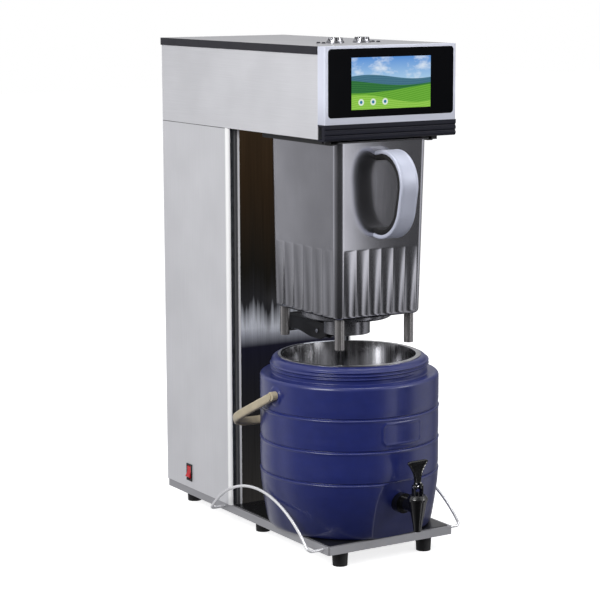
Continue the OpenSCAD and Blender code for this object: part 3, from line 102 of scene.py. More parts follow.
class Graph:
    """Lays and links the nodes of one shader tree. Plain colours with three numbers are displayed
    ones, and those with four are linear light.

    Args:
        tree: The tree, which is emptied first.
    """

    def __init__(self, tree: bpy.types.NodeTree) -> None:
        """Takes the tree and empties it."""
        self.tree = tree
        self.tree.nodes.clear()

    def add(self, kind: str, **settings: object) -> bpy.types.Node:
        """Adds a node.

        Args:
            kind: The node's type name.
            settings: Properties to set on it.

        Returns:
            The new node.
        """
        node = self.tree.nodes.new(kind)
        for key, value in settings.items():
            setattr(node, key, value)
        return node

    def link(self, source: Socket, target: Socket) -> None:
        """Links an output to an input."""
        self.tree.links.new(source, target)

    def feed(self, target: Socket, value: object) -> None:
        """Links a socket to an input, or sets a plain value on it."""
        if isinstance(value, Socket):
            self.link(value, target)
        else:
            target.default_value = value

    def noise(self, where: Socket, scale: float, detail: float = 3.0, rough: float = 0.5) -> Socket:
        """Noise between 0 and 1.

        Args:
            where: The coordinates.
            scale: Waves per metre.
            detail: Number of octaves.
            rough: Strength of the finer octaves.

        Returns:
            The value output.
        """
        node = self.add("ShaderNodeTexNoise")
        self.link(where, node.inputs["Vector"])
        node.inputs["Scale"].default_value = scale
        node.inputs["Detail"].default_value = detail
        node.inputs["Roughness"].default_value = rough
        return node.outputs["Fac"]

    def ramp(self, value: Socket, stops: Sequence[tuple[float, Sequence[float]]]) -> Socket:
        """Maps a value through colours.

        Args:
            value: The value between 0 and 1.
            stops: Pairs of position and plain colour, in rising order.

        Returns:
            The colour output.
        """
        node = self.add("ShaderNodeValToRGB")
        band = node.color_ramp
        while len(band.elements) < len(stops):
            band.elements.new(0.5)
        for element, (at, colour) in zip(band.elements, stops):
            element.position = at
            element.color = linear(colour)
        self.link(value, node.inputs[0])
        return node.outputs[0]

    def span(
        self, value: Socket, low: float, high: float, start: float = 0.0, end: float = 1.0
    ) -> Socket:
        """Maps a value from start..end onto low..high, held at both ends.

        Args:
            value: The value to map.
            low: Result at the start.
            high: Result at the end.
            start: First value of the span.
            end: Last value of the span.

        Returns:
            The mapped output.
        """
        node = self.add("ShaderNodeMapRange", clamp=True)
        self.link(value, node.inputs["Value"])
        for key, number in (("From Min", start), ("From Max", end), ("To Min", low), ("To Max", high)):
            node.inputs[key].default_value = number
        return node.outputs[0]

    def sum(self, kind: str, first: object, second: object = 0.0) -> Socket:
        """Does one sum of two values.

        Args:
            kind: The sum, such as ADD, MULTIPLY, SINE or LESS_THAN.
            first: A socket or a number.
            second: A socket or a number, unused by sums of one value.

        Returns:
            The result's output.
        """
        node = self.add("ShaderNodeMath", operation=kind)
        self.feed(node.inputs[0], first)
        self.feed(node.inputs[1], second)
        return node.outputs[0]

    def blend(self, factor: object, first: object, second: object, kind: str = "MIX") -> Socket:
        """Blends two colours by a factor, or does another kind of sum with them.

        Args:
            factor: Share of the second colour, as a socket or a number.
            first: A socket or a plain colour.
            second: A socket or a plain colour.
            kind: The way of blending.

        Returns:
            The colour output.
        """
        node = self.add("ShaderNodeMix", data_type="RGBA", blend_type=kind)
        self.feed(node.inputs[0], factor)
        for slot, value in ((6, first), (7, second)):
            self.feed(node.inputs[slot], value if isinstance(value, Socket) else linear(value))
        return node.outputs[2]

    def times(self, first: object, second: object) -> Socket:
        """Multiplies two values."""
        return self.sum("MULTIPLY", first, second)

    def tint(self, colour: object, factor: object) -> Socket:
        """Multiplies a colour by another one or by a value."""
        return self.blend(1.0, colour, factor, "MULTIPLY")


class Loom(Graph):
    """The graph of one material, with its main shader and its output.

    Args:
        name: The material's name.
    """

    def __init__(self, name: str) -> None:
        """Makes the material, its main shader and its output.

        Args:
            name: The material's name.
        """
        self.material = bpy.data.materials.new(name)
        self.material.use_nodes = True
        super().__init__(self.material.node_tree)
        self.output = self.add("ShaderNodeOutputMaterial")
        self.bsdf = self.add("ShaderNodeBsdfPrincipled")
        self.link(self.bsdf.outputs[0], self.output.inputs["Surface"])

    def place(
        self,
        scale: Sequence[float] = (1.0, 1.0, 1.0),
        shift: Sequence[float] = (0.0, 0.0, 0.0),
        turn: Sequence[float] = (0.0, 0.0, 0.0),
    ) -> Socket:
        """Object coordinates, scaled, turned and then shifted.

        Args:
            scale: Factor along each axis.
            shift: Shift along each axis, in metres before scaling.
            turn: Turn about each axis, in radians.

        Returns:
            The vector output.
        """
        where = self.add("ShaderNodeTexCoord")
        moved = self.add("ShaderNodeMapping", vector_type="POINT")
        self.link(where.outputs["Object"], moved.inputs["Vector"])
        moved.inputs["Scale"].default_value = scale
        moved.inputs["Rotation"].default_value = turn
        moved.inputs["Location"].default_value = [a * b for a, b in zip(shift, scale)]
        return moved.outputs[0]

    def axes(self) -> dict[str, Socket]:
        """Object coordinates as three separate values.

        Returns:
            The outputs of x, y and z in metres.
        """
        where = self.add("ShaderNodeTexCoord")
        split = self.add("ShaderNodeSeparateXYZ")
        self.link(where.outputs["Object"], split.inputs[0])
        return {"x": split.outputs[0], "y": split.outputs[1], "z": split.outputs[2]}

    def darken(self, colour: Socket, foot: Sequence[float]) -> Socket:
        """Darkens a colour towards a foot.

        Args:
            colour: The colour.
            foot: Height of the darkest place, height where it ends, and the share that is left.

        Returns:
            The darkened colour, or the same one where the share is 1.
        """
        if foot[2] >= 1.0:
            return colour
        return self.tint(colour, self.span(self.axes()["z"], foot[2], 1.0, foot[0], foot[1]))

    def bump(self, height: Socket, strength: float, distance: float = 0.0002) -> None:
        """Adds relief from a height, chained onto an earlier one.

        Args:
            height: The height between 0 and 1.
            strength: Share of the relief that is used.
            distance: Relief in metres between heights 0 and 1.
        """
        node = self.add("ShaderNodeBump")
        node.inputs["Strength"].default_value = strength
        node.inputs["Distance"].default_value = distance
        self.link(height, node.inputs["Height"])
        earlier = self.bsdf.inputs["Normal"].links
        if earlier:
            self.link(earlier[0].from_socket, node.inputs["Normal"])
        self.link(node.outputs[0], self.bsdf.inputs["Normal"])

    def surface(self, **sockets: object) -> None:
        """Sets or links the main shader's inputs, named with underscores for spaces."""
        for key, value in sockets.items():
            self.feed(self.bsdf.inputs[key.replace("_", " ")], value)


@dataclass(frozen=True)
class BrushedSteel:
    """Brushed or drawn sheet: streaks along the grain in colour, roughness and relief."""

    name: str
    colour: Colour
    grain: Grain = Grain.ALONG_Z
    roughness: float = 0.32
    streak: float = 0.05
    metal: float = 1.0
    pitch: float = 900.0
    cloud: float = 0.04
    relief: float = 0.12
    vary: float = 0.07
    foot: tuple[float, float, float] = (0.0, 0.0, 1.0)
    seams: tuple[float, ...] = ()
    # Place in y below which the folded edge is painted near white as a painted highlight; -1 for none.
    painted_fold_highlight: float = -1.0

    def build(self) -> bpy.types.Material:
        """Makes the material. A seam is a dark line at a height. Near the folded edge, below a place in
        y, the sheet is less metallic and painted near white as a painted highlight of the fold. The foot
        is a span of height over which the colour darkens to a share: painted shade on the drawn steel.

        Returns:
            The material.
        """
        loom = Loom(self.name)
        at = loom.axes()
        along = loom.place(self.grain.value)
        fine = loom.noise(along, self.pitch, 4.0, 0.65)
        broad = loom.noise(loom.place(), 9.0, 2.0)
        streaks = loom.ramp(fine, around(self.colour, self.streak))
        clouds = loom.ramp(broad, [(0.3, (1 - self.cloud,) * 3), (0.7, (1.0,) * 3)])
        colour = loom.tint(streaks, clouds)
        # Painted shade on the drawn steel: the colour darkens towards the foot. The fascia is darker
        # towards its lower edge.
        colour = loom.darken(colour, self.foot)
        for seam in self.seams:
            gap = loom.sum("ABSOLUTE", loom.sum("SUBTRACT", at["z"], seam))
            colour = loom.tint(colour, loom.span(gap, 0.12, 1.0, 0.0006, 0.0013))
        metal = self.metal
        # Painted highlight: near the folded edge the colour is painted near white and the metal is taken
        # away.
        if self.painted_fold_highlight > -1.0:
            plain = loom.span(at["y"], 0.0, 1.0, self.painted_fold_highlight, self.painted_fold_highlight + 0.002)
            metal = loom.times(plain, self.metal)
            colour = loom.blend(plain, (0.97, 0.97, 0.97), colour)
        loom.surface(
            Base_Color=colour,
            Metallic=metal,
            Roughness=loom.span(fine, self.roughness - self.vary, self.roughness + self.vary, 0.3, 0.7),
        )
        loom.bump(fine, self.relief, 0.00008)
        return loom.material


@dataclass(frozen=True)
class MouldedPlastic:
    """Moulded plastic: a faint mottle, orange-peel relief and rubbed patches in the gloss."""

    name: str
    colour: Colour
    roughness: float = 0.4
    peel: float = 0.12
    mottle: float = 0.06
    rub: float = 0.1
    coat: float = 0.0
    shine: float = 0.5
    foot: tuple[float, float, float] = (0.0, 0.0, 1.0)

    def build(self) -> bpy.types.Material:
        """Makes the material; the foot is a span of height over which the colour darkens, painted shade.

        Returns:
            The material.
        """
        loom = Loom(self.name)
        spots = loom.noise(loom.place(), 55.0, 4.0, 0.6)
        # Painted shade: the colour darkens towards the foot.
        colour = loom.darken(loom.ramp(spots, around(self.colour, self.mottle)), self.foot)
        peel = loom.noise(loom.place(), 1400.0, 2.0)
        rubs = loom.noise(loom.place((1.0, 1.0, 3.0)), 24.0, 5.0, 0.7)
        loom.surface(
            Base_Color=colour,
            Roughness=loom.span(rubs, self.roughness, self.roughness + self.rub, 0.35, 0.7),
            Coat_Weight=self.coat,
            Specular_IOR_Level=self.shine,
        )
        loom.bump(peel, self.peel, 0.00015)
        loom.bump(spots, self.peel, 0.0003)
        return loom.material


@dataclass(frozen=True)
class Rubber:
    """Matt rubber with a fine grain and dusty patches."""

    name: str
    colour: Colour

    def build(self) -> bpy.types.Material:
        """Makes the material.

        Returns:
            The material.
        """
        loom = Loom(self.name)
        grain = loom.noise(loom.place(), 2200.0, 3.0)
        dust = loom.noise(loom.place(), 60.0, 4.0, 0.65)
        loom.surface(
            Base_Color=loom.ramp(dust, [(0.4, self.colour), (0.75, shade(self.colour, 1.5))]),
            Roughness=loom.span(dust, 0.55, 0.8),
        )
        loom.bump(grain, 0.2, 0.0002)
        return loom.material


@dataclass(frozen=True)
class Laminate:
    """Circuit board or other printed laminate, with darker tracks in a grid."""

    name: str
    colour: Colour

    def build(self) -> bpy.types.Material:
        """Makes the material.

        Returns:
            The material.
        """
        loom = Loom(self.name)
        brick = loom.add("ShaderNodeTexBrick")
        loom.link(loom.place((1.0, 0.0, 1.0), turn=(math.pi / 2, 0.0, 0.0)), brick.inputs["Vector"])
        brick.inputs["Scale"].default_value = 120.0
        brick.inputs["Mortar Size"].default_value = 0.03
        brick.inputs["Color1"].default_value = linear(self.colour)
        brick.inputs["Color2"].default_value = linear(shade(self.colour, 0.8))
        brick.inputs["Mortar"].default_value = linear(shade(self.colour, 1.4))
        loom.surface(Base_Color=brick.outputs[0], Roughness=0.45)
        loom.bump(brick.outputs["Fac"], 0.2, 0.0001)
        return loom.material


@dataclass(frozen=True)
class LitGlass:
    """Black glass with a lit picture behind its middle: a valley under a pale sky and three keys.

    Each hill has the height of its middle, its swing, its waves across the picture, their start,
    and its dark and pale colours. The keys are given by their places across the picture."""

    name: str
    low: tuple[float, float]
    high: tuple[float, float]
    hills: tuple[tuple, ...] = (
        (0.62, 0.05, 5.0, 0.6, (0.25, 0.42, 0.52), (0.3, 0.48, 0.56)),
        (0.52, 0.07, 3.4, 2.4, (0.16, 0.40, 0.22), (0.24, 0.5, 0.26)),
        (0.4, 0.08, 2.6, 4.4, (0.36, 0.62, 0.18), (0.46, 0.72, 0.26)),
        (0.2, 0.09, 4.2, 1.2, (0.5, 0.74, 0.24), (0.62, 0.83, 0.36)),
    )
    keys: tuple[float, ...] = (0.12, 0.27, 0.42)
    key_height: float = 0.14
    aspect: float = 1.85

    def build(self) -> bpy.types.Material:
        """Makes the material. The picture is worked out from x and z across the lit area.

        Returns:
            The material.
        """
        loom = Loom(self.name)
        at = loom.axes()
        u = loom.span(at["x"], 0.0, 1.0, self.low[0], self.high[0])
        v = loom.span(at["z"], 0.0, 1.0, self.low[1], self.high[1])
        flat = loom.add("ShaderNodeCombineXYZ")
        loom.link(u, flat.inputs[0])
        loom.link(v, flat.inputs[1])
        cloud = loom.noise(flat.outputs[0], 4.0, 5.0, 0.6)
        leafy = loom.noise(flat.outputs[0], 60.0, 3.0, 0.7)
        sky = loom.ramp(v, [(0.45, (0.72, 0.86, 0.95)), (1.0, (0.36, 0.58, 0.86))])
        sky = loom.blend(loom.span(cloud, 0.0, 0.75, 0.48, 0.66), sky, (0.93, 0.96, 0.99))
        picture = sky
        for middle, swing, waves, start, dark, pale in self.hills:
            wave = loom.sum("SINE", loom.sum("ADD", loom.times(u, waves), start))
            edge = loom.sum("ADD", loom.times(wave, swing), middle)
            under = loom.sum("SUBTRACT", edge, v)
            leaning = loom.sum("ADD", under, loom.times(u, 0.12))
            rows = loom.sum("SINE", loom.times(leaning, 150.0))
            tone = loom.sum("ADD", loom.times(rows, 0.3), leafy)
            field_colour = loom.ramp(loom.span(tone, 0.0, 1.0, 0.15, 0.85), [(0.0, dark), (1.0, pale)])
            picture = loom.blend(loom.span(under, 0.0, 1.0, 0.0, 0.012), picture, field_colour)
        for key in self.keys:
            across = loom.times(loom.sum("SUBTRACT", u, key), self.aspect)
            down = loom.sum("SUBTRACT", v, self.key_height)
            far = loom.sum("ADD", loom.times(across, across), loom.times(down, down))
            far = loom.sum("SQRT", far)
            picture = loom.blend(loom.span(far, 0.8, 0.0, 0.058, 0.07), picture, (0.95, 0.97, 0.98))
            picture = loom.blend(loom.span(far, 1.0, 0.0, 0.028, 0.036), picture, (0.2, 0.48, 0.62))
        inside = 1.0
        for key, low, high in zip("xz", self.low, self.high):
            inside = loom.times(inside, loom.sum("GREATER_THAN", at[key], low))
            inside = loom.times(inside, loom.sum("LESS_THAN", at[key], high))
        smear = loom.noise(loom.place(), 18.0, 4.0)
        loom.surface(
            Base_Color=loom.blend(inside, (0.05, 0.052, 0.062), (0.02, 0.02, 0.02)),
            Roughness=loom.span(smear, 0.06, 0.14),
            Specular_IOR_Level=0.1,
            Emission_Color=loom.blend(inside, (0.0, 0.0, 0.0), picture),
            Emission_Strength=0.92,
        )
        return loom.material


@dataclass(frozen=True)
class PerforatedChrome:
    """Chromed cap with rows of round holes, drawn from the sines of x and y as spots of painted shade."""

    name: str
    pitch: float = 0.0042

    def build(self) -> bpy.types.Material:
        """Makes the material.

        Returns:
            The material.
        """
        loom = Loom(self.name)
        at = loom.axes()
        waves = [loom.sum("SINE", loom.times(at[key], math.pi / self.pitch)) for key in ("x", "y")]
        # The holes are not cut: their dark is painted shade in the openings.
        hole = loom.span(loom.sum("ABSOLUTE", loom.times(*waves)), 0.0, 1.0, 0.42, 0.5)
        loom.surface(
            Base_Color=loom.blend(hole, (0.86, 0.86, 0.88), (0.03, 0.03, 0.035)),
            Metallic=loom.sum("SUBTRACT", 1.0, hole),
            Roughness=loom.span(hole, 0.12, 0.6),
        )
        return loom.material


@dataclass(frozen=True)
class PaintedReflectionSheet:
    """Polished sheet at the back of the bay, with the room's reflection painted into its colour and glow:
    warm and dark above, pale and streaked between the container and the bucket, cold and dark below,
    and bright folded edges that are a painted highlight."""

    name: str
    bottom: float = 0.042
    top: float = 0.709
    wave: float = 0.11
    bucket_line: tuple[float, float] = (0.322, 0.356)
    edge: float = 0.1036
    bend: float = 0.0006
    painted_highlight_width: float = 0.004
    # Colours of the painted reflection up the sheet.
    upper: tuple[tuple[float, Colour], ...] = (
        (0.0, (0.6, 0.61, 0.66)),
        (0.475, (0.6, 0.61, 0.64)),
        (0.53, (0.14, 0.14, 0.15)),
        (0.62, (0.1, 0.095, 0.085)),
        (0.85, (0.17, 0.13, 0.09)),
        (1.0, (0.2, 0.155, 0.11)),
    )
    # Colours of the painted reflection low down on the sheet.
    lower: tuple[tuple[float, Colour], ...] = (
        (0.0, (0.17, 0.165, 0.16)),
        (0.6, (0.11, 0.11, 0.12)),
        (1.0, (0.09, 0.09, 0.14)),
    )

    def build(self) -> bpy.types.Material:
        """Makes the material.

        Returns:
            The material.
        """
        loom = Loom(self.name)
        at = loom.axes()
        streaks = loom.noise(loom.place(Grain.ALONG_Z.value), 700.0, 4.0, 0.6)
        bands = loom.noise(loom.place((1.0, 1.0, 0.004)), 90.0, 3.0, 0.6)
        # Painted reflection: the room's reflection is painted into the colour by a wavy height, warm and
        # dark above, pale and streaked between the container and the bucket, cold and dark below.
        lifted = loom.sum("ADD", at["z"], loom.times(loom.sum("SUBTRACT", bands, 0.5), self.wave))
        height = loom.span(lifted, 0.0, 1.0, self.bottom, self.top)
        tone = loom.ramp(height, self.upper)
        low = loom.ramp(loom.span(at["z"], 0.0, 1.0, self.bottom, self.bottom + 0.3), self.lower)
        tone = loom.blend(loom.span(at["z"], 0.0, 1.0, *self.bucket_line), low, tone)
        tone = loom.tint(tone, loom.ramp(streaks, [(0.3, (0.85,) * 3), (0.7, (1.0,) * 3)]))
        # Past the sheet's edge a band is painted near white as a painted highlight; further out the sheet
        # is grey.
        aside = loom.sum("ABSOLUTE", at["x"])
        edge_highlight_mask = loom.span(aside, 0.0, 1.0, self.edge, self.edge + self.bend)
        past = self.edge + self.painted_highlight_width
        beyond = loom.span(aside, 0.0, 1.0, past, past + 0.001)
        inner = loom.sum("SUBTRACT", 1.0, edge_highlight_mask)
        # The sheet glows with its painted reflection, which is painted light.
        loom.surface(
            Base_Color=loom.blend(beyond, loom.blend(edge_highlight_mask, tone, (0.96, 0.96, 0.97)), (0.34, 0.34, 0.35)),
            Metallic=loom.times(inner, 0.9),
            Roughness=loom.span(streaks, 0.16, 0.26, 0.3, 0.7),
            Emission_Color=loom.blend(edge_highlight_mask, tone, (0.0, 0.0, 0.0)),
            Emission_Strength=1.0,
        )
        loom.bump(streaks, 0.06, 0.00008)
        return loom.material


def smooth_step(t: np.ndarray) -> np.ndarray:
    """Eases from 0 to 1 as t goes from 0 to 1, flat at both ends."""
    t = np.clip(t, 0.0, 1.0)
    return t * t * (3.0 - 2.0 * t)


def arc_points(cx: float, cy: float, r: float, start: float, end: float, n: int) -> np.ndarray:
    """Points on an arc: centre plus r times the cosine and sine of n + 1 even angles.

    Args:
        cx: First coordinate of the centre.
        cy: Second coordinate of the centre.
        r: Radius.
        start: First angle in degrees.
        end: Last angle in degrees.
        n: Number of steps.

    Returns:
        An (n + 1, 2) array.
    """
    a = np.radians(np.linspace(start, end, n + 1))
    return np.stack([cx + r * np.cos(a), cy + r * np.sin(a)], 1)


def resample(path: np.ndarray, n: int) -> np.ndarray:
    """Spreads n points evenly along a polyline by its running length.

    Args:
        path: An (m, k) array of points.
        n: Number of points.

    Returns:
        An (n, k) array.
    """
    step = np.linalg.norm(np.diff(path, axis=0), axis=1)
    at = np.concatenate([[0.0], np.cumsum(step)])
    even = np.linspace(0.0, at[-1], n)
    return np.stack([np.interp(even, at, path[:, k]) for k in range(path.shape[1])], 1)


def spread(at: np.ndarray, weight: np.ndarray, n: int) -> np.ndarray:
    """Places n values so that their density follows a weight, by its running integral.

    Args:
        at: Rising places where the weight is known.
        weight: Weight at each place.
        n: Number of values.

    Returns:
        An (n,) array from the first place to the last.
    """
    total = np.concatenate([[0.0], np.cumsum((weight[1:] + weight[:-1]) / 2 * np.diff(at))])
    return np.interp(np.linspace(0.0, total[-1], n), total, at)


def grid_faces(rows: int, columns: int, wrap_rows: bool, wrap_columns: bool) -> np.ndarray:
    """Quads of a grid whose points run row by row.

    Args:
        rows: Number of rows.
        columns: Number of columns.
        wrap_rows: Whether the last row joins the first.
        wrap_columns: Whether the last column joins the first.

    Returns:
        An (n, 4) array of point numbers.
    """
    i = np.arange(rows if wrap_rows else rows - 1)[:, None]
    j = np.arange(columns if wrap_columns else columns - 1)[None, :]
    down, right = (i + 1) % rows, (j + 1) % columns
    a, b = i * columns + j, i * columns + right
    c, d = down * columns + right, down * columns + j
    return np.stack([a, b, c, d], -1).reshape(-1, 4)


def make_piece(
    name: str,
    points: np.ndarray,
    faces: Sequence[np.ndarray],
    material: bpy.types.Material,
    body: str,
    node: str,
) -> bpy.types.Object:
    """Turns arrays into a smooth piece that rides on a body.

    Args:
        name: The piece's name.
        points: An (n, 3) array in metres.
        faces: Arrays of point numbers, one array for each number of corners.
        material: The finish.
        body: The CAD body that it rides on.
        node: The CAD node that it stands for.

    Returns:
        The new object.
    """
    mesh = bpy.data.meshes.new(name)
    mesh.from_pydata(points.tolist(), [], [face for group in faces for face in group.tolist()])
    mesh.polygons.foreach_set("use_smooth", np.ones(len(mesh.polygons), dtype=bool))
    mesh.materials.append(material)
    mesh.validate()
    mesh.update()
    piece = bpy.data.objects.new(name, mesh)
    bpy.context.scene.collection.objects.link(piece)
    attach(piece, body)
    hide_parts(node)
    log.info("%s: %d faces on %s", name, len(mesh.polygons), body)
    return piece


def sharpen(piece: bpy.types.Object, degrees: float = 32.0) -> None:
    """Splits the shading at edges sharper than an angle.

    Args:
        piece: The piece or CAD node.
        degrees: The angle between neighbouring faces.
    """
    split = piece.modifiers.new("creases", "EDGE_SPLIT")
    split.split_angle = math.radians(degrees)
    split.use_edge_sharp = False


def dress(node: bpy.types.Object, material: bpy.types.Material, bevel: float = 0.0) -> None:
    """Gives a CAD node its finish, joins its loose triangles and shades its curves smoothly.

    Args:
        node: The CAD node's object.
        material: The finish.
        bevel: Width of the softened edges in metres, or 0 for none.
    """
    mesh = node.data
    mesh.materials.clear()
    mesh.materials.append(material)
    if "custom_normal" in mesh.attributes:
        mesh.attributes.remove(mesh.attributes["custom_normal"])
    mesh.polygons.foreach_set("use_smooth", np.ones(len(mesh.polygons), dtype=bool))
    mesh.polygons.foreach_set("material_index", np.zeros(len(mesh.polygons), dtype=np.int32))
    weld = node.modifiers.new("joined", "WELD")
    weld.merge_threshold = 0.00002
    if bevel > 0.0:
        soft = node.modifiers.new("soft_edges", "BEVEL")
        soft.width = bevel
        soft.segments = 2
        soft.limit_method = "ANGLE"
        soft.angle_limit = math.radians(50.0)
    sharpen(node)
    if bevel > 0.0:
        flats = node.modifiers.new("flat_faces", "WEIGHTED_NORMAL")
        flats.mode = "FACE_AREA"
        flats.weight = 50


class Finishes:
    """Every finish of the machine, built once and kept by name."""

    def __init__(self) -> None:
        """Builds the finishes from their recipes."""
        steel: Colour = (0.87, 0.87, 0.884)
        lcd_low, lcd_high = (-0.0777, 0.7555), (0.0763, 0.8386)
        recipes = (
            BrushedSteel("panel_steel", steel, Grain.ALONG_Z, 0.42, 0.018, 0.4),
            # The column's folded front edge is a painted highlight.
            BrushedSteel(
                "column_steel", steel, Grain.ALONG_Z, 0.42, 0.018, 0.4,
                seams=(0.709, 0.0415), painted_fold_highlight=0.0455,
            ),
            BrushedSteel("head_steel", steel, Grain.ALONG_Y, 0.42, 0.018, 0.4),
            BrushedSteel("cover_steel", (0.66, 0.66, 0.67), Grain.ALONG_Y, 0.4, 0.018, 0.5),
            BrushedSteel("tray_steel", (0.69, 0.69, 0.705), Grain.ALONG_Y, 0.36, 0.03, 0.6),
            BrushedSteel("bright_steel", (0.84, 0.84, 0.86), Grain.EVEN, 0.16, 0.03),
            BrushedSteel("leg_steel", (0.6, 0.59, 0.59), Grain.ALONG_Z, 0.24, 0.06, 0.75),
            BrushedSteel("wire_chrome", (0.93, 0.93, 0.94), Grain.EVEN, 0.14, 0.02, 0.4),
            # The container's rim is a darkened copy of the steel: painted shade under the lip.
            BrushedSteel("shaded_rim_steel", (0.3, 0.3, 0.31), Grain.ALONG_Z, 0.3, 0.06),
            # The drawn steel darkens towards the container's flutes: painted shade.
            BrushedSteel(
                "drawn_steel", (0.71, 0.71, 0.735), Grain.ALONG_Z, 0.17, 0.012, 0.96, 620.0,
                relief=0.001, vary=0.012, foot=(0.425, 0.53, 0.56), cloud=0.1,
            ),
            BrushedSteel("dish_steel", (0.5, 0.5, 0.52), Grain.EVEN, 0.24, 0.08, 0.8),
            BrushedSteel("liner_steel", (0.7, 0.7, 0.71), Grain.ALONG_Z, 0.14, 0.08, 1.0, 160.0),
            BrushedSteel(
                "fascia_silver", (0.88, 0.893, 0.95), Grain.ALONG_X, 0.34, 0.012, 0.15,
                foot=(0.738, 0.775, 0.79),
            ),
            BrushedSteel("copper", (0.75, 0.6, 0.42), Grain.EVEN, 0.28, 0.06),
            BrushedSteel("chassis_zinc", (0.5, 0.51, 0.53), Grain.EVEN, 0.45, 0.12, 0.8, 80.0),
            BrushedSteel("strap_silver", (0.76, 0.775, 0.84), Grain.EVEN, 0.46, 0.02, 0.15, 1200.0),
            BrushedSteel("dark_screws", (0.3, 0.3, 0.32), Grain.EVEN, 0.3, 0.08),
            PerforatedChrome("perforated"),
            MouldedPlastic("edging", (0.13, 0.13, 0.155), 0.42, shine=0.3),
            MouldedPlastic("lip_plastic", (0.07, 0.075, 0.125), 0.36, 0.06, shine=0.2),
            MouldedPlastic("black_plastic", (0.07, 0.07, 0.075), 0.32, 0.1),
            MouldedPlastic("tap_black", (0.035, 0.036, 0.045), 0.18, 0.06, 0.06, 0.08, 0.3),
            MouldedPlastic("powder_coat", (0.09, 0.09, 0.1), 0.45, 0.3),
            MouldedPlastic("tray_black", (0.08, 0.082, 0.095), 0.26, 0.1),
            # The bucket darkens towards its bottom: painted shade.
            MouldedPlastic(
                "bucket_blue", (0.12, 0.155, 0.40), 0.3, 0.06, 0.035, 0.1, 0.2, foot=(0.043, 0.16, 0.5)
            ),
            MouldedPlastic("bail_cream", (0.7, 0.655, 0.56), 0.36, 0.05),
            MouldedPlastic("rocker_red", (0.76, 0.1, 0.13), 0.2, 0.03, 0.03, 0.05, 0.3),
            MouldedPlastic("valve_plastic", (0.2, 0.22, 0.26), 0.45),
            MouldedPlastic("foam", (0.93, 0.9, 0.78), 0.8, 0.6, 0.08),
            Rubber("foot_rubber", (0.1, 0.1, 0.105)),
            Rubber("grip_rubber", (0.06, 0.06, 0.065)),
            Laminate("circuit", (0.08, 0.36, 0.2)),
            LitGlass("lit_glass", lcd_low, lcd_high),
            PaintedReflectionSheet("painted_reflection_sheet"),
        )
        self.made = {recipe.name: recipe.build() for recipe in recipes}

    def __getitem__(self, name: str) -> bpy.types.Material:
        """The material of a name."""
        return self.made[name]


def dress_all(
    table: dict[str, tuple[str, float]], nodes: dict[str, bpy.types.Object], finishes: Finishes
) -> None:
    """Dresses CAD nodes from a table.

    Args:
        table: For each node its finish and the width of its softened edges in millimetres.
        nodes: The CAD nodes.
        finishes: The finishes.
    """
    for name, (finish, bevel) in table.items():
        dress(nodes[name], finishes[finish], bevel * MM)
        log.info("%s: %s", name, finish)


@dataclass
class Machine:
    """The column, head, tray, water system and drain drive, all of them CAD nodes."""

    finish: dict[str, tuple[str, float]] = field(
        default_factory=lambda: {
            "base_pan": ("tray_steel", 0.6),
            "tray_inlay": ("tray_black", 0.2),
            "feet": ("foot_rubber", 0.8),
            "guard_wires": ("wire_chrome", 0.0),
            "chassis": ("chassis_zinc", 0.6),
            "column_sides": ("column_steel", 0.4),
            "column_front": ("painted_reflection_sheet", 0.3),
            "back_panel": ("panel_steel", 0.3),
            "head_sides": ("head_steel", 0.5),
            "head_bottom": ("chassis_zinc", 0.3),
            "top_cover": ("cover_steel", 0.5),
            "top_rim": ("edging", 0.4),
            "panel_screws": ("dark_screws", 0.0),
            "vent_bases": ("dish_steel", 0.3),
            "vent_grilles": ("perforated", 0.3),
            "fascia_frame": ("fascia_silver", 0.6),
            "glass_panel": ("lit_glass", 0.4),
            "lcd_module": ("valve_plastic", 0.3),
            "display_board": ("circuit", 0.0),
            "front_lip": ("lip_plastic", 0.4),
            "rails": ("powder_coat", 0.3),
            "spray_head": ("bright_steel", 0.4),
            "brew_valve": ("valve_plastic", 0.8),
            "water_pipes": ("copper", 0.0),
            "boiler_tank": ("panel_steel", 0.0),
            "boiler_lid": ("panel_steel", 0.4),
            "heating_element": ("copper", 0.0),
            "inlet_fitting": ("copper", 0.4),
            "inlet_valve": ("valve_plastic", 0.8),
            "control_board": ("circuit", 0.2),
            "cable_gland": ("black_plastic", 0.4),
            "switch_housing": ("black_plastic", 0.3),
            "arm_bracket": ("powder_coat", 0.3),
            "arm_pin": ("bright_steel", 0.3),
            "solenoid": ("valve_plastic", 0.5),
            "solenoid_rod": ("bright_steel", 0.0),
            "valve_arm": ("leg_steel", 0.3),
            "power_rocker": ("rocker_red", 0.4),
        }
    )

    def dress(self, nodes: dict[str, bpy.types.Object], finishes: Finishes) -> None:
        """Gives each of the machine's nodes its finish and softened edges."""
        dress_all(self.finish, nodes, finishes)


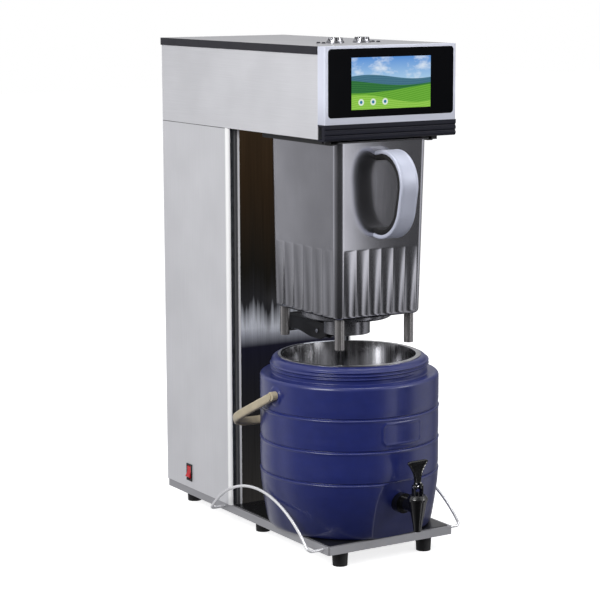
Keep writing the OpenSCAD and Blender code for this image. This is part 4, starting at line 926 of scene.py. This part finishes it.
@dataclass
class FlutedContainer:
    """The brewing container: a drafted box with round corners and scalloped flutes at its foot."""

    bottom: float = 0.408
    height: float = 0.292
    half_top: float = 0.089
    half_foot: float = 0.084
    front_top: float = -0.249
    front_foot: float = -0.241
    back: float = -0.038
    corner: float = 0.013
    edge: float = 0.008
    wall: float = 0.0015
    outlet_y: float = -0.141
    hole: float = 0.070
    flutes: int = 6
    flute_depth: float = 0.0015
    flute_ledge: float = 0.0004
    bulge: float = 0.0014
    flute_height: float = 0.117
    crease_over: float = 0.004
    crease_span: float = 0.007
    side_steps: int = 96
    corner_steps: int = 12

    def perimeter(self) -> tuple[np.ndarray, ...]:
        """Marks round the rounded rectangle, anticlockwise from the right side's back end.

        Returns:
            For each mark its side sign in x, its side sign in y, its corner angle, and its place
            from -1 to 1 along the straight run it belongs to, or 2 on a corner.
        """
        angle, sx, sy, run = [], [], [], []
        corners = ((1, 1, 0), (-1, 1, 90), (-1, -1, 180), (1, -1, 270))
        for k, (cx, cy, start) in enumerate(corners):
            a = np.linspace(start, start + 90, self.corner_steps + 1)
            angle.append(a)
            sx.append(np.full(a.size, float(cx)))
            sy.append(np.full(a.size, float(cy)))
            run.append(np.full(a.size, 2.0))
            nx, ny, _ = corners[(k + 1) % 4]
            t = np.linspace(0, 1, self.side_steps + 1)[1:-1]
            angle.append(np.full(t.size, float(start + 90)))
            sx.append(cx + (nx - cx) * t)
            sy.append(cy + (ny - cy) * t)
            run.append(2 * t - 1)
        return tuple(np.concatenate(part) for part in (sx, sy, angle, run))

    def ring(self, z: float, inset: float, marks: tuple[np.ndarray, ...], relief: float) -> np.ndarray:
        """One ring of points at a height.

        A mark lies at the centre of its corner, plus the corner radius along its angle. Marks on a
        straight run slide between two corners. A flute pushes in by depth(z) (1 - (2 s)^2), where
        s is the place across it from -0.5 to 0.5 and depth(z) starts at a small ledge and grows in
        line from there down, so that neighbours meet in a ridge. Each face swells by bulge (1 - run^2).

        Args:
            z: Height above the table.
            inset: Distance inside the outer face.
            marks: The marks from perimeter().
            relief: Share of the flutes' depth that is used.

        Returns:
            An (n, 3) array.
        """
        sx, sy, angle, run = marks
        k = (z - self.bottom) / self.height
        half = self.half_foot + (self.half_top - self.half_foot) * k - inset
        front = self.front_foot + (self.front_top - self.front_foot) * k + inset
        back = self.back - inset
        r = max(self.corner - inset, 0.002)
        mid, deep = (front + back) / 2, (back - front) / 2
        a = np.radians(angle)
        normal = np.stack([np.cos(a), np.sin(a)], 1)
        flat = np.stack([sx * (half - r), mid + sy * (deep - r)], 1) + r * normal
        on_run = (run < 1.5) & (normal[:, 1] < 0.9)
        across = ((run + 1) / 2 * self.flutes) % 1.0 - 0.5
        down = self.bottom + self.flute_height - z
        depth = self.flute_depth * np.clip(down / self.flute_height, 0, 1)
        depth = depth + self.flute_ledge * smooth_step(down / 0.0025)
        push = depth * (1 - (2 * across) ** 2) * on_run * relief
        push = push - self.bulge * (1 - run**2) * (run < 1.5) * relief
        flat = flat - normal * push[:, None]
        return np.column_stack([flat, np.full(len(flat), z)])

    def build(self, finishes: Finishes) -> None:
        """Carries the perimeter along a closed profile: floor, outside, lip, inside and back.

        The floor runs in straight lines from the outlet's circle to the foot's ring. Round the bottom
        edge the inset is edge (1 - sin a) and the rise edge (1 - cos a), for a from 0 to 90 degrees.

        Args:
            finishes: The finishes.
        """
        marks = self.perimeter()
        base, top, deep = self.bottom, self.bottom + self.height, self.edge - self.wall
        crease = base + self.flute_height + self.crease_over
        ledge = crease - self.crease_span
        turn = np.radians(np.linspace(0, 90, 9))
        foot = self.ring(base, self.edge, marks, 0.0)
        away = foot[:, :2] - np.array([0.0, self.outlet_y])
        circle = away / np.linalg.norm(away, axis=1)[:, None] * self.hole
        hole = np.column_stack([circle + np.array([0.0, self.outlet_y]), np.full(len(foot), base)])
        lift = np.array([0.0, 0.0, self.wall])
        outside = np.concatenate([
            np.linspace(base + self.edge, ledge, 24)[1:],
            np.linspace(ledge, crease, 9)[1:],
            np.linspace(crease, top, 12)[1:],
        ])
        inside = np.concatenate([
            np.linspace(top, crease, 12), np.linspace(crease, base + self.edge, 20)[1:]
        ])
        rings = [hole * (1 - t) + foot * t for t in (0.0, 0.35, 0.7)]
        for a in turn:
            sink = self.edge * (1 - math.sin(a))
            rings.append(self.ring(base + self.edge * (1 - math.cos(a)), sink, marks, math.sin(a)))
        rings += [self.ring(z, 0.0, marks, 1.0) for z in outside]
        rings += [self.ring(z, self.wall, marks, 1.0) for z in inside]
        for a in turn[::-1]:
            z = base + self.wall + deep * (1 - math.cos(a))
            rings.append(self.ring(z, self.wall + deep * (1 - math.sin(a)), marks, math.sin(a)))
        rings += [hole * (1 - t) + foot * t + lift for t in (0.6, 0.0)]
        points = np.stack(rings)
        faces = grid_faces(points.shape[0], points.shape[1], True, True)
        steel = finishes["drawn_steel"]
        piece = make_piece(
            "fluted_container", points.reshape(-1, 3), [faces], steel, "container", "container_body"
        )
        sharpen(piece, 34.0)


@dataclass
class HandleBow:
    """The D handle: a broad silver strap over a narrower black grip, swept along one outline."""

    foot_front: float = -0.241
    front_draft: float = 0.008
    height: float = 0.292
    bottom: float = 0.408
    reach: float = 0.080
    top: float = 0.281
    low: float = 0.134
    round_top: float = 0.056
    round_low: float = 0.062
    behind_top: float = 0.053
    behind_low: float = 0.065
    root: float = 0.004

    def outline(self, inset: float, n: int) -> np.ndarray:
        """The outline's points from the top root, round the front, to the bottom root.

        The outline is the hull of two circles and a block at the face. For each normal angle the
        hull's point is that of the shape which reaches furthest along the normal.

        Args:
            inset: Distance inside the outer outline.
            n: Number of points.

        Returns:
            An (n, 2) array of y and z.
        """
        front = self.foot_front - self.reach - self.root
        a = np.radians(np.linspace(40, 320, 2400))
        normal = np.stack([np.cos(a), np.sin(a)], 1)
        shapes = []
        upper = (front + self.behind_top, self.bottom + self.top - self.round_top)
        lower = (front + self.behind_low, self.bottom + self.low + self.round_low)
        for centre, r in ((upper, self.round_top), (lower, self.round_low)):
            shapes.append(np.array(centre) + (r - inset) * normal)
        ends = (self.top - 0.006 - inset, self.low + self.root + inset)
        for z in ends:
            shapes.append(np.tile([self.foot_front + self.root, self.bottom + z], (len(a), 1)))
        reach = np.stack([(shape * normal).sum(1) for shape in shapes])
        best = np.argmax(reach, 0)
        path = np.stack(shapes)[best, np.arange(len(a))]
        path = resample(path, 900)
        face = self.foot_front - self.front_draft * (path[:, 1] - self.bottom) / self.height
        path = path[path[:, 0] < face + 0.0008]
        return resample(path, n)

    def sweep(
        self,
        name: str,
        insets: tuple[float, float],
        width: float,
        round_off: float,
        crown: float,
        material: bpy.types.Material,
        node: str,
    ) -> None:
        """Carries a rounded section along the outline.

        Across the width the section is a rounded rectangle. Its outer side is raised by crown
        times one minus the square of the place across the width, and sunk between two borders.

        Args:
            name: The piece's name.
            insets: Insets of the section's outer and inner sides.
            width: Width of the section.
            round_off: Corner radius of the section.
            crown: Rise of the outer side's middle.
            material: The finish.
            node: The CAD node that it stands for.
        """
        n, (outer, inner) = 150, insets
        far, near = self.outline(outer, n), self.outline(inner, n)
        thick = inner - outer
        half = width / 2
        r = min(round_off, thick / 2 - 0.0001)
        loop = np.concatenate([
            arc_points(half - r, thick - r, r, 0, 90, 6),
            np.stack([np.linspace(half - r, -half + r, 45)[1:-1], np.full(43, thick)], 1),
            arc_points(-half + r, thick - r, r, 90, 180, 6),
            arc_points(-half + r, r, r, 180, 270, 6),
            np.stack([np.linspace(-half + r, half - r, 13)[1:-1], np.zeros(11)], 1),
            arc_points(half - r, r, r, 270, 360, 6),
        ])
        share = loop[:, 1] / thick
        aside = np.abs(loop[:, 0] / half)
        lift = crown * (1 - aside**2 - smooth_step((0.8 - aside) / 0.08)) * (share > 0.5)
        base = near[:, None, :] + (far - near)[:, None, :] * share[None, :, None]
        way = (far - near) / np.linalg.norm(far - near, axis=1)[:, None]
        base = base + way[:, None, :] * lift[None, :, None]
        points = np.concatenate([np.broadcast_to(loop[None, :, :1], base[:, :, :1].shape), base], 2)
        m = len(loop)
        ends = np.stack([points[0].mean(0), points[-1].mean(0)])
        j = np.arange(m)
        first = np.stack([np.full(m, n * m), (j + 1) % m, j], 1)
        last = np.stack([np.full(m, n * m + 1), (n - 1) * m + j, (n - 1) * m + (j + 1) % m], 1)
        faces = grid_faces(n, m, False, True)
        whole = np.concatenate([points.reshape(-1, 3), ends])
        piece = make_piece(name, whole, [faces, first, last], material, "container", node)
        face_outwards(piece)
        sharpen(piece, 50.0)

    def build(self, finishes: Finishes) -> None:
        """Makes the strap and the grip.

        Args:
            finishes: The finishes.
        """
        silver, rubber = finishes["strap_silver"], finishes["grip_rubber"]
        self.sweep("handle_strap_bow", (0.0006, 0.007), 0.034, 0.0022, 0.0009, silver, "handle_strap")
        self.sweep("handle_grip_bow", (0.007, 0.0158), 0.032, 0.0034, 0.0, rubber, "handle_grip")


def face_outwards(piece: bpy.types.Object) -> None:
    """Turns every face of a closed piece outwards.

    Args:
        piece: The piece.
    """
    work = bmesh.new()
    work.from_mesh(piece.data)
    bmesh.ops.recalc_face_normals(work, faces=work.faces)
    work.to_mesh(piece.data)
    work.free()


@dataclass
class Bucket:
    """The insulated bucket: a blow-moulded shell with soft grooves round a steel liner."""

    axis_y: float = -0.1485
    turn: float = math.radians(3.0)
    bottom: float = 0.043
    radius: float = 0.152
    foot: float = 0.134
    shoulder: float = 0.304
    neck: float = 0.1325
    neck_top: float = 0.3325
    mouth: float = 0.1144
    grooves: tuple[float, ...] = (0.141, 0.1955, 0.250)
    groove_cut: float = 0.0024
    groove_wide: float = 0.00115
    lip_rise: float = 0.0009
    lip_drop: float = 0.0032
    lip_wide: float = 0.0016
    ease_in: float = 0.0006
    ease_high: float = 0.012
    flat: float = 0.14859
    flat_top: float = 0.141
    flat_half: float = 0.075
    flat_lean: float = math.radians(10.2)
    bail_z: float = 0.277
    columns: int = 290
    rows: int = 300
    flare: tuple[tuple[float, float], ...] = (
        (134.6, 43.3), (136.8, 44.3), (138.5, 45.9), (139.6, 47.8), (140.5, 50.4), (141.5, 54.5),
        (142.5, 60.0), (144.5, 72.0), (146.5, 84.0), (148.8, 100.0), (151.0, 118.0), (152.0, 134.0),
    )
    ridges: tuple[tuple[float, float, float], ...] = (
        (0, 290, 0.009), (95, 300, 0.015), (200, 300, 0.021),
    )
    ridge_rise: float = 0.0026
    plate_z: float = 0.22325
    plate_half: tuple[float, float, float] = (0.040, 0.019, 0.0525)
    plate_rise: float = 0.0020
    plate_sink: float = 0.0012
    boss: float = 0.0162
    boss_rise: float = 0.0025
    wall: float = 0.003

    def place(self, points: np.ndarray) -> np.ndarray:
        """Turns points about the bucket's axis and moves them to its place on the tray.

        Args:
            points: An array whose last axis holds x, y and z from the bucket's axis.

        Returns:
            The turned points, in an array of the same shape.
        """
        c, s = math.cos(self.turn), math.sin(self.turn)
        x, y, z = points[..., 0], points[..., 1], points[..., 2]
        return np.stack([x * c - y * s, x * s + y * c + self.axis_y, z], -1)

    def profile(self) -> np.ndarray:
        """Radius and height from the bottom's rim up to the neck's top, denser at the grooves,
        the neck's ridges and the plate.

        Returns:
            A (rows, 2) array.
        """
        z0, r0 = self.bottom, self.radius
        rough = np.concatenate([
            [[self.foot - 0.006, z0], [self.foot - 0.001, z0]],
            np.array(self.flare) * MM,
            arc_points(r0 - 0.006, self.shoulder - 0.006, 0.006, 0, 82, 8),
            [[self.neck + 0.0012, self.shoulder]],
            [[self.neck, self.shoulder + 0.0012], [self.neck, self.neck_top - 0.012]],
            arc_points(self.neck - 0.010, self.neck_top - 0.010, 0.010, 0, 88, 8),
            [[self.mouth + 0.002, self.neck_top]],
        ])
        path = resample(rough, 4000)
        at = np.arange(4000.0)
        near = sum(np.exp(-(((path[:, 1] - g + 0.001) / 0.004) ** 2)) for g in self.grooves)
        weight = 0.7 + 5.0 * near + 1.8 * (path[:, 1] > self.shoulder - 0.001)
        pick = spread(at, weight, self.rows)
        return np.stack([np.interp(pick, at, path[:, k]) for k in (0, 1)], 1)

    def shell(self, finishes: Finishes) -> None:
        """Turns the profile and presses the details into it.

        Radius = profile - groove + lip, where a groove is a narrow bell curve in z and its lip a
        wider one just under it. Above a groove the wall is drawn in and eases out again. The neck
        carries three ridges that run in and out, the front is cut back to a leaning plane below
        the lowest groove, and an eight-sided plate and two round bosses stand proud by smooth
        steps of their own distance functions. The columns crowd at the front and at the bosses.

        Args:
            finishes: The finishes.
        """
        p = self.profile()
        ring = np.linspace(0, 2 * np.pi, 2881)
        crowd = 0.75 + 1.1 * (np.abs(ring - 1.5 * np.pi) < 0.42) + 1.4 * (np.abs(np.sin(ring)) < 0.12)
        a = spread(ring, crowd, self.columns + 1)[:-1]
        r = np.repeat(p[:, :1], self.columns, 1)
        z = np.repeat(p[:, 1:], self.columns, 1)
        side = (p[:, 0] > 0.1505)[:, None]
        for g in self.grooves:
            r = r - side * self.groove_cut * np.exp(-(((z - g) / self.groove_wide) ** 2))
            r = r + side * self.lip_rise * np.exp(-(((z - g + self.lip_drop) / self.lip_wide) ** 2))
            ease = smooth_step((z - g) / 0.001) * smooth_step((g + self.ease_high - z) / 0.011)
            r = r - side * self.ease_in * ease
        on_neck = (p[:, :1] < self.neck + 0.0015) & (z > self.shoulder)
        for start, sweep, up in self.ridges:
            along = (np.degrees(a)[None, :] - start) % 360
            fade = smooth_step(along / 14) * smooth_step((sweep - along) / 14) * (along < sweep)
            rise = self.shoulder + up + (along / 360 - 0.5) * 0.0012
            r = r + self.ridge_rise * fade * np.exp(-(((z - rise) / 0.0015) ** 4)) * on_neck
        x, y = r * np.cos(a), r * np.sin(a)
        plane = self.flat - 0.0003 - np.maximum(self.flat_top - z, 0.0) * math.tan(self.flat_lean)
        limit = -(plane + smooth_step((z - self.flat_top + 0.001) / 0.002) * 0.02)
        cut = limit - y
        soft = 0.0004
        front = (np.abs(x) < self.flat_half) & (y < -0.1) & (z < self.flat_top + 0.004)
        y = y + np.where(front, 0.5 * (cut + np.sqrt(cut**2 + soft**2)), 0.0)
        arc_x = self.radius * (a[None, :] - 1.5 * np.pi)
        away_x, away_z = np.abs(arc_x), np.abs(z - self.plate_z)
        half_x, half_z, corner = self.plate_half
        rim = np.maximum(away_x - half_x, away_x + away_z - corner) / half_z + 1
        rim = np.maximum(away_z / half_z, rim)
        grow = self.plate_rise * smooth_step((1.0 - rim) / 0.05) * side
        grow = grow - self.plate_sink * smooth_step((0.92 - rim) / 0.06) * side
        norm = np.stack([np.cos(a), np.sin(a)])
        x, y = x + grow * norm[0], y + grow * norm[1]
        for s in (1, -1):
            far = np.sqrt(y**2 + (z - self.bail_z) ** 2)
            on = smooth_step((self.boss - far) / 0.002) * (s * x > 0.1)
            x = x + on * (s * (self.radius + self.boss_rise) - x)
        outer = np.stack([x, y, z], -1)
        thin = self.wall
        inside = resample(np.array([
            [self.mouth + 0.0004, self.neck_top - 0.0008],
            [self.mouth, self.neck_top - thin],
            [self.neck - thin, self.neck_top - 0.006],
            [self.neck - thin, self.shoulder - thin],
            [self.radius - thin, self.shoulder - 0.009],
            [self.radius - thin, self.bottom + 0.091],
            [self.foot + 0.0095, self.bottom + 0.029],
            [self.foot + thin, self.bottom + 0.007],
            [self.foot - 0.012, self.bottom + thin],
        ]), 36)
        lean = np.maximum(self.flat_top - inside[:, 1:], 0.0) * math.tan(self.flat_lean)
        back = -(self.flat - 0.0003 - thin - lean)
        inner_y = np.maximum(inside[:, :1] * np.sin(a), back)
        inner_z = np.repeat(inside[:, 1:], self.columns, 1)
        inner_grid = np.stack([inside[:, :1] * np.cos(a), inner_y, inner_z], -1)
        points = self.place(np.concatenate([outer, inner_grid]))
        rows = points.shape[0]
        poles = self.place(np.array([[0.0, 0.0, self.bottom], [0.0, 0.0, self.bottom + thin]]))
        j = np.arange(self.columns)
        count = rows * self.columns
        first = np.stack([np.full(self.columns, count), (j + 1) % self.columns, j], 1)
        base = (rows - 1) * self.columns
        last = np.stack([np.full(self.columns, count + 1), base + j, base + (j + 1) % self.columns], 1)
        faces = grid_faces(rows, self.columns, False, True)
        whole = np.concatenate([points.reshape(-1, 3), poles])
        blue = finishes["bucket_blue"]
        make_piece("moulded_bucket", whole, [faces, first, last], blue, "bucket", "bucket_shell")

    def dress(self, nodes: dict[str, bpy.types.Object], finishes: Finishes) -> None:
        """Makes the shell and the tap's paddle and finishes the bucket's other CAD nodes.

        Args:
            nodes: The CAD nodes.
            finishes: The finishes.
        """
        self.shell(finishes)
        TapPaddle(self).build(finishes)
        table = {
            "bucket_foam": ("foam", 0.0),
            "bucket_liner": ("liner_steel", 0.0),
            "bail": ("bail_cream", 0.0),
            "bail_pins": ("bail_cream", 0.2),
            "tap_body": ("tap_black", 0.5),
            "tap_nut": ("black_plastic", 0.3),
            "tap_bonnet": ("tap_black", 0.5),
            "tap_stem": ("black_plastic", 0.3),
            "tap_spring": ("bright_steel", 0.0),
            "tap_pin": ("bright_steel", 0.2),
        }
        dress_all(table, nodes, finishes)


@dataclass
class TapPaddle:
    """The tap's lever: a yoke that widens into a hollow-sided paddle with a thick rim. Its sizes
    are millimetres from the lever's pivot, before the bucket turns it into place."""

    bucket: Bucket
    pivot: tuple[float, float, float] = (0.0, -0.190, 0.140)
    neck_half: float = 6.1
    widen: float = 18.4
    low: float = 6.0
    tall: float = 38.0
    plate: float = 1.5
    rim: float = 1.3
    neck_extra: float = 0.9
    lug: float = 5.0
    lug_span: tuple[float, float] = (3.1, 6.1)

    def build(self, finishes: Finishes) -> None:
        """Works out the two faces of the paddle, closes them round the rim and adds the lugs.

        Half width = neck_half + widen (t^2.1), where t goes from 0 to 1 up the paddle, less a
        share that grows with the 2.6th power of the last sixth to round off the top corners. Half
        thickness = plate + rim near the outline, thinned by the root of the distance from the
        edge, + neck_extra towards the neck.

        Args:
            finishes: The finishes.
        """
        t = np.linspace(0.0, 1.0, 61)
        u = np.sin(np.linspace(-0.5, 0.5, 49) * np.pi)
        rounding = np.clip((t - 0.84) / 0.16, 0, 1) ** 2.6 * 0.36
        wide = (self.neck_half + self.widen * t**2.1) * (1 - rounding)
        high = self.low + self.tall * t
        x = u[None, :] * wide[:, None]
        z = high[:, None] + 0.0 * x
        margin = np.minimum(wide[:, None] * (1 - np.abs(u))[None, :], (1 - t)[:, None] * self.tall)
        rim = smooth_step((2.6 - margin) / 1.0) * smooth_step(t / 0.3)[:, None]
        edge = np.sqrt(np.clip(margin / 1.4, 0.0, 1.0))
        thick = (self.plate + self.rim * rim) * (0.35 + 0.65 * edge)
        thick = thick + self.neck_extra * (1 - smooth_step(t / 0.35))[:, None]
        front = np.stack([x, -thick, z], -1)
        rear = np.stack([x, thick, z], -1)
        rows, columns = x.shape
        points = np.concatenate([front.reshape(-1, 3), rear.reshape(-1, 3)]) * MM
        grid = grid_faces(rows, columns, False, False)
        round_trip = np.concatenate([
            np.arange(columns - 1), np.arange(rows - 1) * columns + columns - 1,
            (rows - 1) * columns + np.arange(columns - 1, 0, -1), np.arange(rows - 1, 0, -1) * columns,
        ])
        after = np.roll(round_trip, -1)
        shift = rows * columns
        rim_faces = np.stack([round_trip, round_trip + shift, after + shift, after], 1)
        near, far = self.lug_span
        yoke = [self.tube((s * near * MM, s * far * MM), self.lug * MM) for s in (-1, 1)]
        all_points, all_faces, count = [points], [grid, grid[:, ::-1] + shift, rim_faces], len(points)
        for tube_points, tube_faces in yoke:
            all_points.append(tube_points)
            all_faces.extend(part + count for part in tube_faces)
            count += len(tube_points)
        whole = self.bucket.place(np.concatenate(all_points) + np.array(self.pivot))
        black = finishes["tap_black"]
        piece = make_piece("tap_paddle", whole, all_faces, black, "tap_handle", "tap_lever")
        face_outwards(piece)
        sharpen(piece, 40.0)

    def tube(
        self, span: tuple[float, float], radius: float, bore: float = 0.0022, n: int = 40
    ) -> tuple[np.ndarray, list[np.ndarray]]:
        """One lug of the yoke: a washer along X that reaches up to the paddle's foot.

        Args:
            span: Its two ends along X.
            radius: Outer radius.
            bore: Radius of the pin's hole.
            n: Number of sides.

        Returns:
            The points and the face arrays.
        """
        a = np.linspace(0, 2 * np.pi, n, endpoint=False)
        y, z = np.cos(a), np.sin(a)
        outer_z = np.where(z > 0, z * 0.0088, z * radius)
        outer = np.stack([y * radius * np.where(z > 0, 0.8, 1.0), outer_z], 1)
        inner = np.stack([y * bore, z * bore], 1)
        loops = [(span[0], outer), (span[1], outer), (span[1], inner), (span[0], inner)]
        points = np.concatenate([np.column_stack([np.full(n, x), loop]) for x, loop in loops])
        return points, [grid_faces(4, n, True, True)]


@dataclass
class Container:
    """The hanging container with its handle, and the CAD nodes that it carries."""

    def dress(self, nodes: dict[str, bpy.types.Object], finishes: Finishes) -> None:
        """Makes the fluted body and the handle and finishes the container's CAD nodes.

        Args:
            nodes: The CAD nodes.
            finishes: The finishes.
        """
        FlutedContainer().build(finishes)
        HandleBow().build(finishes)
        table = {
            # Painted shade: the rim is darkened steel under the lip.
            "container_rim": ("shaded_rim_steel", 0.3),
            "container_legs": ("leg_steel", 0.0),
            "drain_sump": ("dish_steel", 0.0),
            "strainer": ("bright_steel", 0.0),
            "drain_plunger": ("bright_steel", 0.0),
            "drain_spring": ("bright_steel", 0.0),
        }
        dress_all(table, nodes, finishes)


@dataclass
class Studio:
    """Floor, light and camera. The room is pairs of place round the horizon, from 0 behind the
    object to 0.5 in front of it and 1 behind again, and brightness. The box is the soft light
    overhead, which begins and is full at the two heights of box_from."""

    focal_px: float = 2032.32265
    yaw: float = 0.55364
    pitch: float = 0.16181
    roll: float = -0.00379
    eye: tuple[float, float, float] = (-1.85586184, -2.99229627, 0.97916462)
    room: tuple[tuple[float, float], ...] = (
        (0.0, 0.7), (0.05, 0.7), (0.082, 0.5), (0.1, 0.3), (0.15, 0.9), (0.2, 0.3),
        (0.34, 0.04), (0.44, 0.05), (0.53, 0.1), (0.556, 1.2), (0.578, 1.7), (0.589, 0.05),
        (0.64, 0.08), (0.67, 1.0), (0.74, 0.7), (0.8, 0.12), (1.0, 0.8),
    )
    box: float = 0.3
    box_from: tuple[float, float] = (0.15, 0.6)
    even: tuple[float, ...] = (0.36, 0.365, 0.375, 1.0)

    def camera(self) -> None:
        """Sets the camera at the photograph's angle, with no shift."""
        data = bpy.data.cameras.new("camera")
        data.sensor_width = 36.0
        data.lens = 36.0 * self.focal_px / 600.0
        data.clip_start, data.clip_end = 0.05, 50.0
        camera = bpy.data.objects.new("camera", data)
        bpy.context.scene.collection.objects.link(camera)
        level = math.cos(self.pitch)
        ahead = Vector((math.sin(self.yaw) * level, math.cos(self.yaw) * level, -math.sin(self.pitch)))
        right = Vector((math.cos(self.yaw), -math.sin(self.yaw), 0.0))
        up = right.cross(ahead)
        c, s = math.cos(self.roll), math.sin(self.roll)
        right, up = c * right + s * up, c * up - s * right
        turn = camera.matrix_world.copy()
        for k, column in enumerate((right, up, -ahead, Vector(self.eye))):
            for row in range(3):
                turn[row][k] = column[row]
        camera.matrix_world = turn
        bpy.context.scene.camera = camera

    def floor(self) -> None:
        """Lays a floor that is white to the camera, keeps the object's shadow, throws back little
        light and lets gloss see the room through it."""
        mesh = bpy.data.meshes.new("floor")
        side = 12.0
        corners = [(-side, -side, 0.0), (side, -side, 0.0), (side, side, 0.0), (-side, side, 0.0)]
        mesh.from_pydata(corners, [], [[0, 1, 2, 3]])
        loom = Loom("floor_white")
        rays = loom.add("ShaderNodeLightPath")
        seen = rays.outputs["Is Camera Ray"]
        white = loom.blend(seen, (0.5, 0.5, 0.51), (0.93, 0.93, 0.93))
        loom.surface(Base_Color=white, Roughness=0.9, Specular_IOR_Level=0.0)
        glow = loom.add("ShaderNodeEmission")
        glow.inputs["Color"].default_value = (1.0, 1.0, 1.0, 1.0)
        loom.link(loom.times(seen, 0.74), glow.inputs["Strength"])
        both = loom.add("ShaderNodeAddShader")
        loom.link(loom.bsdf.outputs[0], both.inputs[0])
        loom.link(glow.outputs[0], both.inputs[1])
        clear = loom.add("ShaderNodeBsdfTransparent")
        choice = loom.add("ShaderNodeMixShader")
        loom.link(rays.outputs["Is Glossy Ray"], choice.inputs[0])
        loom.link(both.outputs[0], choice.inputs[1])
        loom.link(clear.outputs[0], choice.inputs[2])
        loom.link(choice.outputs[0], loom.output.inputs["Surface"])
        mesh.materials.append(loom.material)
        floor = bpy.data.objects.new("floor", mesh)
        bpy.context.scene.collection.objects.link(floor)

    def world(self) -> None:
        """Builds the surroundings: white to the camera, even for plain surfaces, and for gloss a
        room with a soft box overhead, bright to the left and right and dark round the camera."""
        world = bpy.data.worlds.new("room")
        world.use_nodes = True
        bpy.context.scene.world = world
        graph = Graph(world.node_tree)
        where, split = graph.add("ShaderNodeTexCoord"), graph.add("ShaderNodeSeparateXYZ")
        graph.link(where.outputs["Generated"], split.inputs[0])
        turn = graph.sum("ARCTAN2", split.outputs[0], graph.times(split.outputs[1], -1.0))
        share = graph.span(turn, 0.0, 1.0, -math.pi, math.pi)
        room = graph.ramp(share, [(at, (level, level, level * 1.03, 1.0)) for at, level in self.room])
        above = graph.span(split.outputs[2], 0.0, self.box, *self.box_from)
        rays = graph.add("ShaderNodeLightPath").outputs
        seen = graph.blend(rays["Is Glossy Ray"], self.even, graph.blend(1.0, room, above, "ADD"))
        seen = graph.blend(rays["Is Camera Ray"], seen, (1.0, 1.0, 1.0, 1.0))
        sky, out = graph.add("ShaderNodeBackground"), graph.add("ShaderNodeOutputWorld")
        graph.link(seen, sky.inputs["Color"])
        graph.link(sky.outputs[0], out.inputs["Surface"])

    def lamps(self) -> None:
        """Hangs a large soft lamp to the left, a weaker one to the right and one overhead."""
        for name, place, aim, size, power in (
            ("lamp_left", (-2.4, -1.0, 1.8), (0.0, 0.0, 0.4), 1.4, 68.0),
            ("lamp_right", (1.9, -2.2, 1.5), (0.0, 0.0, 0.4), 1.0, 24.0),
            ("lamp_top", (0.2, -0.4, 2.8), (0.0, 0.0, 0.5), 1.2, 24.0),
        ):
            data = bpy.data.lights.new(name, "AREA")
            data.size, data.energy = size, power
            lamp = bpy.data.objects.new(name, data)
            lamp.location = place
            lamp.rotation_euler = (Vector(aim) - Vector(place)).to_track_quat("-Z", "Y").to_euler()
            bpy.context.scene.collection.objects.link(lamp)

    def build(self) -> None:
        """Sets the colour transform and makes the whole studio."""
        bpy.context.scene.view_settings.view_transform = "Standard"
        self.floor()
        self.world()
        self.lamps()
        self.camera()


def main() -> None:
    """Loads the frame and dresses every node."""
    logging.basicConfig(level=logging.INFO, format="%(name)s: %(message)s")
    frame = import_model()
    finishes = Finishes()
    nodes = frame["nodes"]
    Studio().build()
    Machine().dress(nodes, finishes)
    Container().dress(nodes, finishes)
    Bucket().dress(nodes, finishes)
    log.info("%d nodes dressed", len(nodes))


if __name__ == "__main__":
    main()
